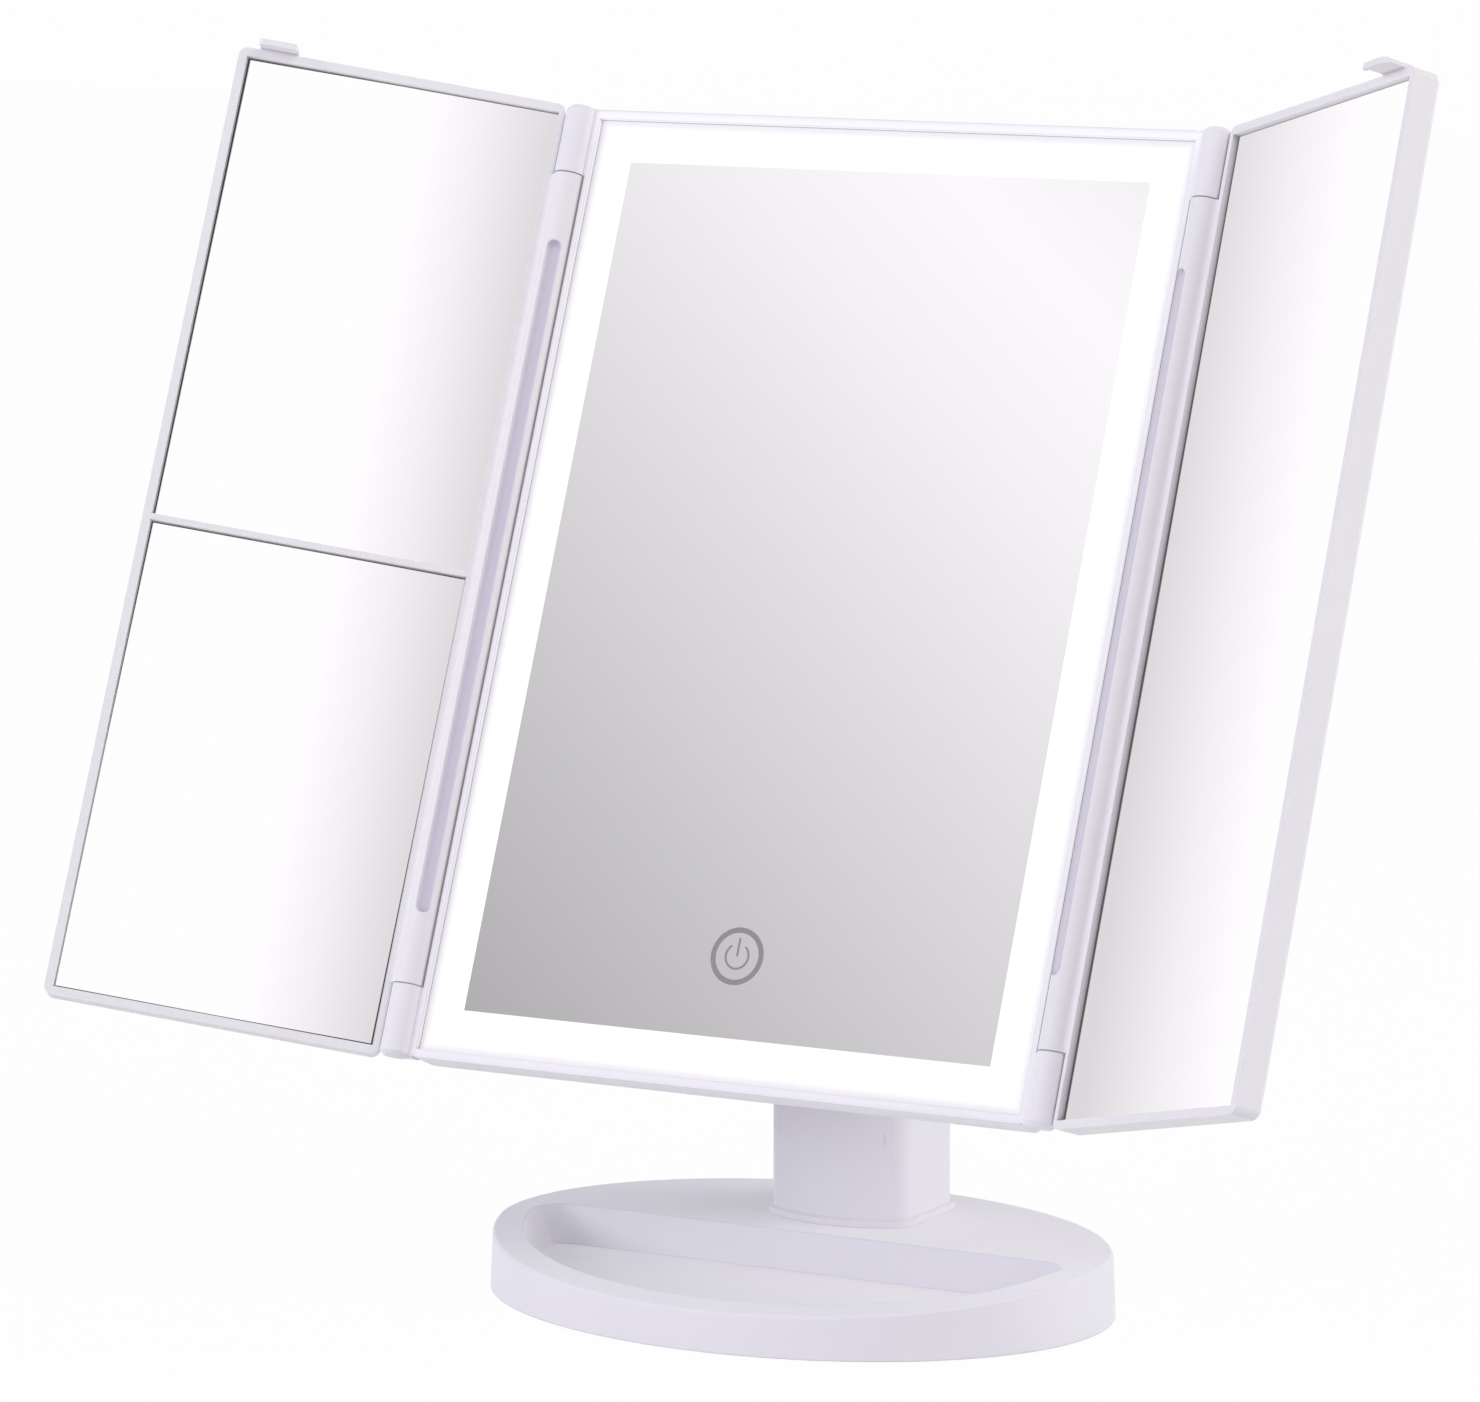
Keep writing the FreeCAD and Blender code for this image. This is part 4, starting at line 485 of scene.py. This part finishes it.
def foam():
    """Foam tape with fine pores."""
    shader = Shader("foam_tape")
    pores = shader.noise(1500.0, roughness=0.7)
    shader.set(Base_Color=shader.tinted(pores, grey(214), grey(240)), Roughness=0.9)
    shader.bump(pores, distance=0.1 * MM, strength=0.8)
    return shader


def dark_plastic():
    """Spark-textured dark plastic."""
    shader = Shader("dark_plastic")
    grain = shader.noise(1400.0, roughness=0.6)
    shader.set(Base_Color=shader.tinted(grain, colour(38, 39, 42), colour(52, 53, 56)))
    shader.roughness(grain, 0.42, 0.58)
    shader.bump(grain, distance=0.02 * MM, strength=0.5, edge=0.1 * MM)
    return shader


def cell_jacket():
    """A plain printed film: grey, with faint streaks."""
    shader = Shader("cell_jacket")
    streak = shader.noise(500.0, detail=2.0, stretch=(1, 1, 0.1))
    tone = shader.tinted(streak, colour(120, 125, 131), colour(148, 153, 159))
    shader.set(Base_Color=tone)
    shader.roughness(streak, 0.2, 0.3)
    return shader


# ------------------------------------------------------------------ dressing the CAD nodes

def dress(shader, *names):
    """Give CAD nodes a material in place of their own."""
    for name in names:
        materials = NODES[name].data.materials
        materials.clear()
        materials.append(shader.material)


def dress_shells():
    """The moulded plastic parts."""
    dress(
        white_abs("white_shell", SHELL_TONES),
        "panel_rear_cover",
        "post_shell",
        "post_rear_cover",
        "battery_door",
        "tilt_caps",
        "base_shell",
    )
    # the panel frame: painted shade in its gaps and a painted glow on its rim
    dress(painted_rim_glow(white_abs("panel_shell", SHELL_TONES, creases=0.55)), "panel_frame")
    # the wings: painted shade in their gaps and on their finger grooves
    wings = {
        "left_wing_frame": (LEFT_WING_TONES, LEFT_HINGE),
        # the right wing's darker tones are painted shade
        "right_wing_frame": (RIGHT_WING_SHADED_TONES, RIGHT_HINGE),
    }
    for name, (tones, hinge) in wings.items():
        shell = white_abs(name + "_shell", tones, edge=0.0, creases=0.75, hinge=hinge)
        dress(shell, name)
    inner = white_abs("inner_plastic", INNER_TONES, shine=(0.5, 0.6), edge=0.2 * MM)
    dress(inner, "base_bottom_cover", "battery_tray")
    dress(opal_acrylic(), "light_diffuser")


def dress_mirrors():
    """The panes, whose colour holds a painted reflection of the plain studio, as in the
    photograph:
    no part of the object is seen in them."""
    dress(silvered_glass("centre_silver", centre_painted_reflection), "center_mirror")
    left = wing_painted_reflection(LEFT_HINGE, LEFT_REACH, near_level=222, white_at=38 * MM)
    right = wing_painted_reflection(RIGHT_HINGE, RIGHT_REACH, near_level=218, white_at=70 * MM, lean=0.07)
    # each pane: its painted reflection, and the painted dark lines of shade along its edges
    panes = {
        "left_upper_mirror": (left, [
            (LEFT_REACH, UPWARD, (0.44, 0.49, 0.60)),
            (UPWARD, LEFT_REACH, (0.02, 0.06, 0.34)),
        ]),
        "left_lower_mirror": (left, [
            (LEFT_REACH, UPWARD, (0.08, 0.10, 0.42)),
            (-LEFT_REACH, UPWARD, (0.42, 0.15, 0.04)),
            (UPWARD, LEFT_REACH, (0.26, 0.19, 0.26)),
            (-UPWARD, LEFT_REACH, (0.26, 0.13, 0.20)),
        ]),
        "right_mirror": (right, [(-RIGHT_REACH, UPWARD, (0.95, 1.00, 0.35))]),
    }
    for name, (tone, lines) in panes.items():
        dress(silvered_glass(name + "_silver", tone, name, lines), name)
    for node in NODES.values():
        node.visible_glossy = False


def dress_inside():
    """The metal parts, the electrics, the pad and the foam."""
    dress(
        brushed_steel(),
        "base_ballast",
        "base_cover_screws",
        "post_screws",
        "rear_cover_screws",
        "tilt_bolt",
        "tilt_nut",
        "friction_washers",
        "wing_hinge_pins",
        "panel_screws",
    )
    dress(nickel(), "battery_contacts", "usb_socket", "touch_sensor_pad")
    dress(pad_rubber(), "anti_slip_pad")
    dress(solder_mask(), "power_board", "led_boards", "control_board")
    dress(led_package(), "led_chips")
    dress(foam(), "touch_contact", "left_mirror_tape", "right_mirror_tape")
    dress(dark_plastic(), "power_switch_body", "power_switch_knob")
    dress(cell_jacket(), "batteries")


# ------------------------------------------------------------------ the touch mark

INK_HEIGHT = 0.06 * MM
END_STEPS = 8
RING_RADIUS, RING_WIDTH, RING_STEPS = 6.3 * MM, 1.3 * MM, 120
ARC_RADIUS, ARC_WIDTH, ARC_STEPS = 3.0 * MM, 0.52 * MM, 64
ARC_START, ARC_END = 130, 410
BAR_LOW, BAR_HIGH, BAR_WIDTH = 0.2 * MM, 4.2 * MM, 0.54 * MM


def arc_path(radius, start, end, steps):
    """Points on a circle about the touch mark, by angles in degrees from the right."""
    span = end - start
    gaps = steps if span >= 360 else steps - 1
    angles = [math.radians(start + span * step / gaps) for step in range(steps)]
    return [
        Vector((radius * math.cos(angle), radius * math.sin(angle) - TOUCH_DROP))
        for angle in angles
    ]


def band_sides(path, width, closed):
    """The left and the right side of a band along a path of flat points."""
    left, right = [], []
    last = len(path) - 1
    for index, point in enumerate(path):
        before = path[index - 1] if closed or index else point
        after = path[(index + 1) % len(path)] if closed or index < last else point
        way = (after - before).normalized()
        across = Vector((-way.y, way.x)) * (width / 2)
        left.append(point + across)
        right.append(point - across)
    return left, right


def round_end(centre, start):
    """The points of a half turn from start about centre."""
    spoke = start - centre
    points = []
    for step in range(1, END_STEPS):
        cosine = math.cos(math.pi * step / END_STEPS)
        sine = math.sin(math.pi * step / END_STEPS)
        turned = (spoke.x * cosine - spoke.y * sine, spoke.x * sine + spoke.y * cosine)
        points.append(centre + Vector(turned))
    return points


def raised(mesh, loop):
    """The vertices of a flat loop on the glass and on top of the ink."""
    return [
        [mesh.verts.new(on_panel(point.x, point.y, depth)) for point in loop]
        for depth in (-GLASS_DEPTH, -GLASS_DEPTH + INK_HEIGHT)
    ]


def skirt(mesh, first, second):
    """Faces from one loop of vertices to another."""
    for index in range(len(first)):
        after = (index + 1) % len(first)
        mesh.faces.new((first[index], first[after], second[after], second[index]))


def printed_band(name, path, width, shader, closed=False):
    """A thin printed band along a path on the centre mirror, with round ends where it is
    open. It rides on the panel."""
    mesh = bmesh.new()
    left, right = band_sides(path, width, closed)
    if closed:
        left_low, left_high = raised(mesh, left)
        right_low, right_high = raised(mesh, right)
        skirt(mesh, left_high, right_high)
        skirt(mesh, right_low, left_low)
        skirt(mesh, left_low, left_high)
        skirt(mesh, right_high, right_low)
    else:
        first_end = round_end(path[0], left[0])
        last_end = round_end(path[-1], right[-1])
        low, high = raised(mesh, left[::-1] + first_end + right + last_end)
        mesh.faces.new(low[::-1])
        mesh.faces.new(high)
        skirt(mesh, low, high)
    bmesh.ops.recalc_face_normals(mesh, faces=mesh.faces)
    data = bpy.data.meshes.new(name)
    mesh.to_mesh(data)
    mesh.free()
    data.materials.append(shader.material)
    piece = bpy.data.objects.new(name, data)
    bpy.context.scene.collection.objects.link(piece)
    piece.visible_glossy = False
    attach(piece, "panel")


def make_touch_mark():
    """A ring round the sign for power."""
    ink = mark_ink()
    ring = arc_path(RING_RADIUS, 0, 360, RING_STEPS)
    printed_band("touch_ring", ring, RING_WIDTH, ink, closed=True)
    arc = arc_path(ARC_RADIUS, ARC_START, ARC_END, ARC_STEPS)
    printed_band("power_arc", arc, ARC_WIDTH, ink)
    bar = [Vector((0.0, rise - TOUCH_DROP)) for rise in (BAR_LOW, BAR_HIGH)]
    printed_band("power_bar", bar, BAR_WIDTH, ink)


# ------------------------------------------------------------------ studio

SKY_STRENGTH = 0.42
FLOOR_SIZE = 8.0
FLOOR_DROP = 0.05 * MM
FLOOR_GLOW = 1.01                 # of the floor's white, as the camera sees it
FLOOR_GLOW_SHARE = 0.97           # the rest shows the contact shadow

LAMP_SIZE = 1.3
LAMP_TARGET = Vector((0.0, 0.0, 0.15))
LAMPS = {                         # place, power in watts, tint
    "key_left": ((-1.5, -1.5, 1.0), 23.0, (0.98, 0.97, 1.0)),
    "low_front": ((1.0, -1.8, 0.3), 8.3, (0.91, 0.89, 1.0)),
    "top_right": ((1.1, 0.0, 1.7), 11.8, (1.0, 0.95, 0.82)),
    "rear_right": ((1.5, 1.1, 0.7), 7.9, (0.90, 0.93, 1.0)),
    "side_right": ((1.9, 0.15, 0.6), 4.0, (1.0, 1.0, 0.9)),
}

CAMERA_PLACE = (0.77357, -1.43652, 0.38757)
CAMERA_TURN = 28.811              # degrees to the left of straight ahead
CAMERA_DROP = 8.438               # degrees below level
CAMERA_LENS = 169.05              # mm
CAMERA_SENSOR = 36.0              # mm
CAMERA_NEAR, CAMERA_FAR = 0.05, 20.0


def background_world():
    """White behind the object and in its reflections, soft cool light on its surfaces."""
    world = bpy.data.worlds.new("studio")
    bpy.context.scene.world = world
    world.use_nodes = True
    tree = Tree(world.node_tree)
    tree.nodes.clear()
    rays = tree.add("ShaderNodeLightPath").outputs
    seen = tree.math("MAXIMUM", rays["Is Camera Ray"], rays["Is Glossy Ray"])
    seen = tree.math("MAXIMUM", seen, rays["Is Transmission Ray"])
    sky = tree.glow("ShaderNodeBackground", SKY_TINT, SKY_STRENGTH)
    white = tree.glow("ShaderNodeBackground", STUDIO_WHITE, 1.0)
    output = tree.add("ShaderNodeOutputWorld")
    tree.feed(tree.blended(seen, sky, white), output.inputs["Surface"])


def make_floor():
    """A pale floor: white to the eye, with a faint contact shadow, and clear from below."""
    bpy.ops.mesh.primitive_plane_add(size=FLOOR_SIZE, location=(0, 0, -FLOOR_DROP))
    floor = bpy.context.object
    floor.name = "studio_floor"
    shader = Shader("floor_white")
    tone = shader.tinted(shader.noise(3.0), grey(230), grey(234))
    shader.set(Base_Color=tone, Roughness=0.9)
    rays = shader.add("ShaderNodeLightPath").outputs
    seen = shader.math("MAXIMUM", rays["Is Camera Ray"], rays["Is Glossy Ray"])
    share = shader.math("MULTIPLY", seen, FLOOR_GLOW_SHARE)
    glow = shader.glow("ShaderNodeEmission", STUDIO_WHITE, FLOOR_GLOW)
    top = shader.blended(share, shader.principled.outputs[0], glow)
    below = shader.add("ShaderNodeNewGeometry").outputs["Backfacing"]
    clear = shader.add("ShaderNodeBsdfTransparent").outputs[0]
    surface = shader.blended(below, top, clear)
    shader.feed(surface, shader.nodes["Material Output"].inputs["Surface"])
    floor.data.materials.append(shader.material)


def make_lights():
    """Square soft boxes turned to the object, which the mirrors don't show."""
    for name, (place, power, tint) in LAMPS.items():
        light = bpy.data.lights.new(name, "AREA")
        light.shape = "SQUARE"
        light.size = LAMP_SIZE
        light.energy = power
        light.color = tint
        lamp = bpy.data.objects.new(name, light)
        bpy.context.scene.collection.objects.link(lamp)
        lamp.location = place
        aim = LAMP_TARGET - Vector(place)
        lamp.rotation_euler = aim.to_track_quat("-Z", "Y").to_euler()
        lamp.visible_glossy = False


def make_camera():
    """The photograph's camera."""
    data = bpy.data.cameras.new("camera")
    data.sensor_fit = "HORIZONTAL"
    data.sensor_width = CAMERA_SENSOR
    data.lens = CAMERA_LENS
    data.clip_start = CAMERA_NEAR
    data.clip_end = CAMERA_FAR
    camera = bpy.data.objects.new("camera", data)
    bpy.context.scene.collection.objects.link(camera)
    camera.location = CAMERA_PLACE
    pitch = math.radians(90.0 - CAMERA_DROP)
    camera.rotation_euler = (pitch, 0.0, math.radians(CAMERA_TURN))
    bpy.context.scene.camera = camera


dress_shells()
dress_inside()
make_touch_mark()
dress_mirrors()
background_world()
make_floor()
make_lights()
make_camera()
bpy.context.scene.view_settings.view_transform = "Standard"
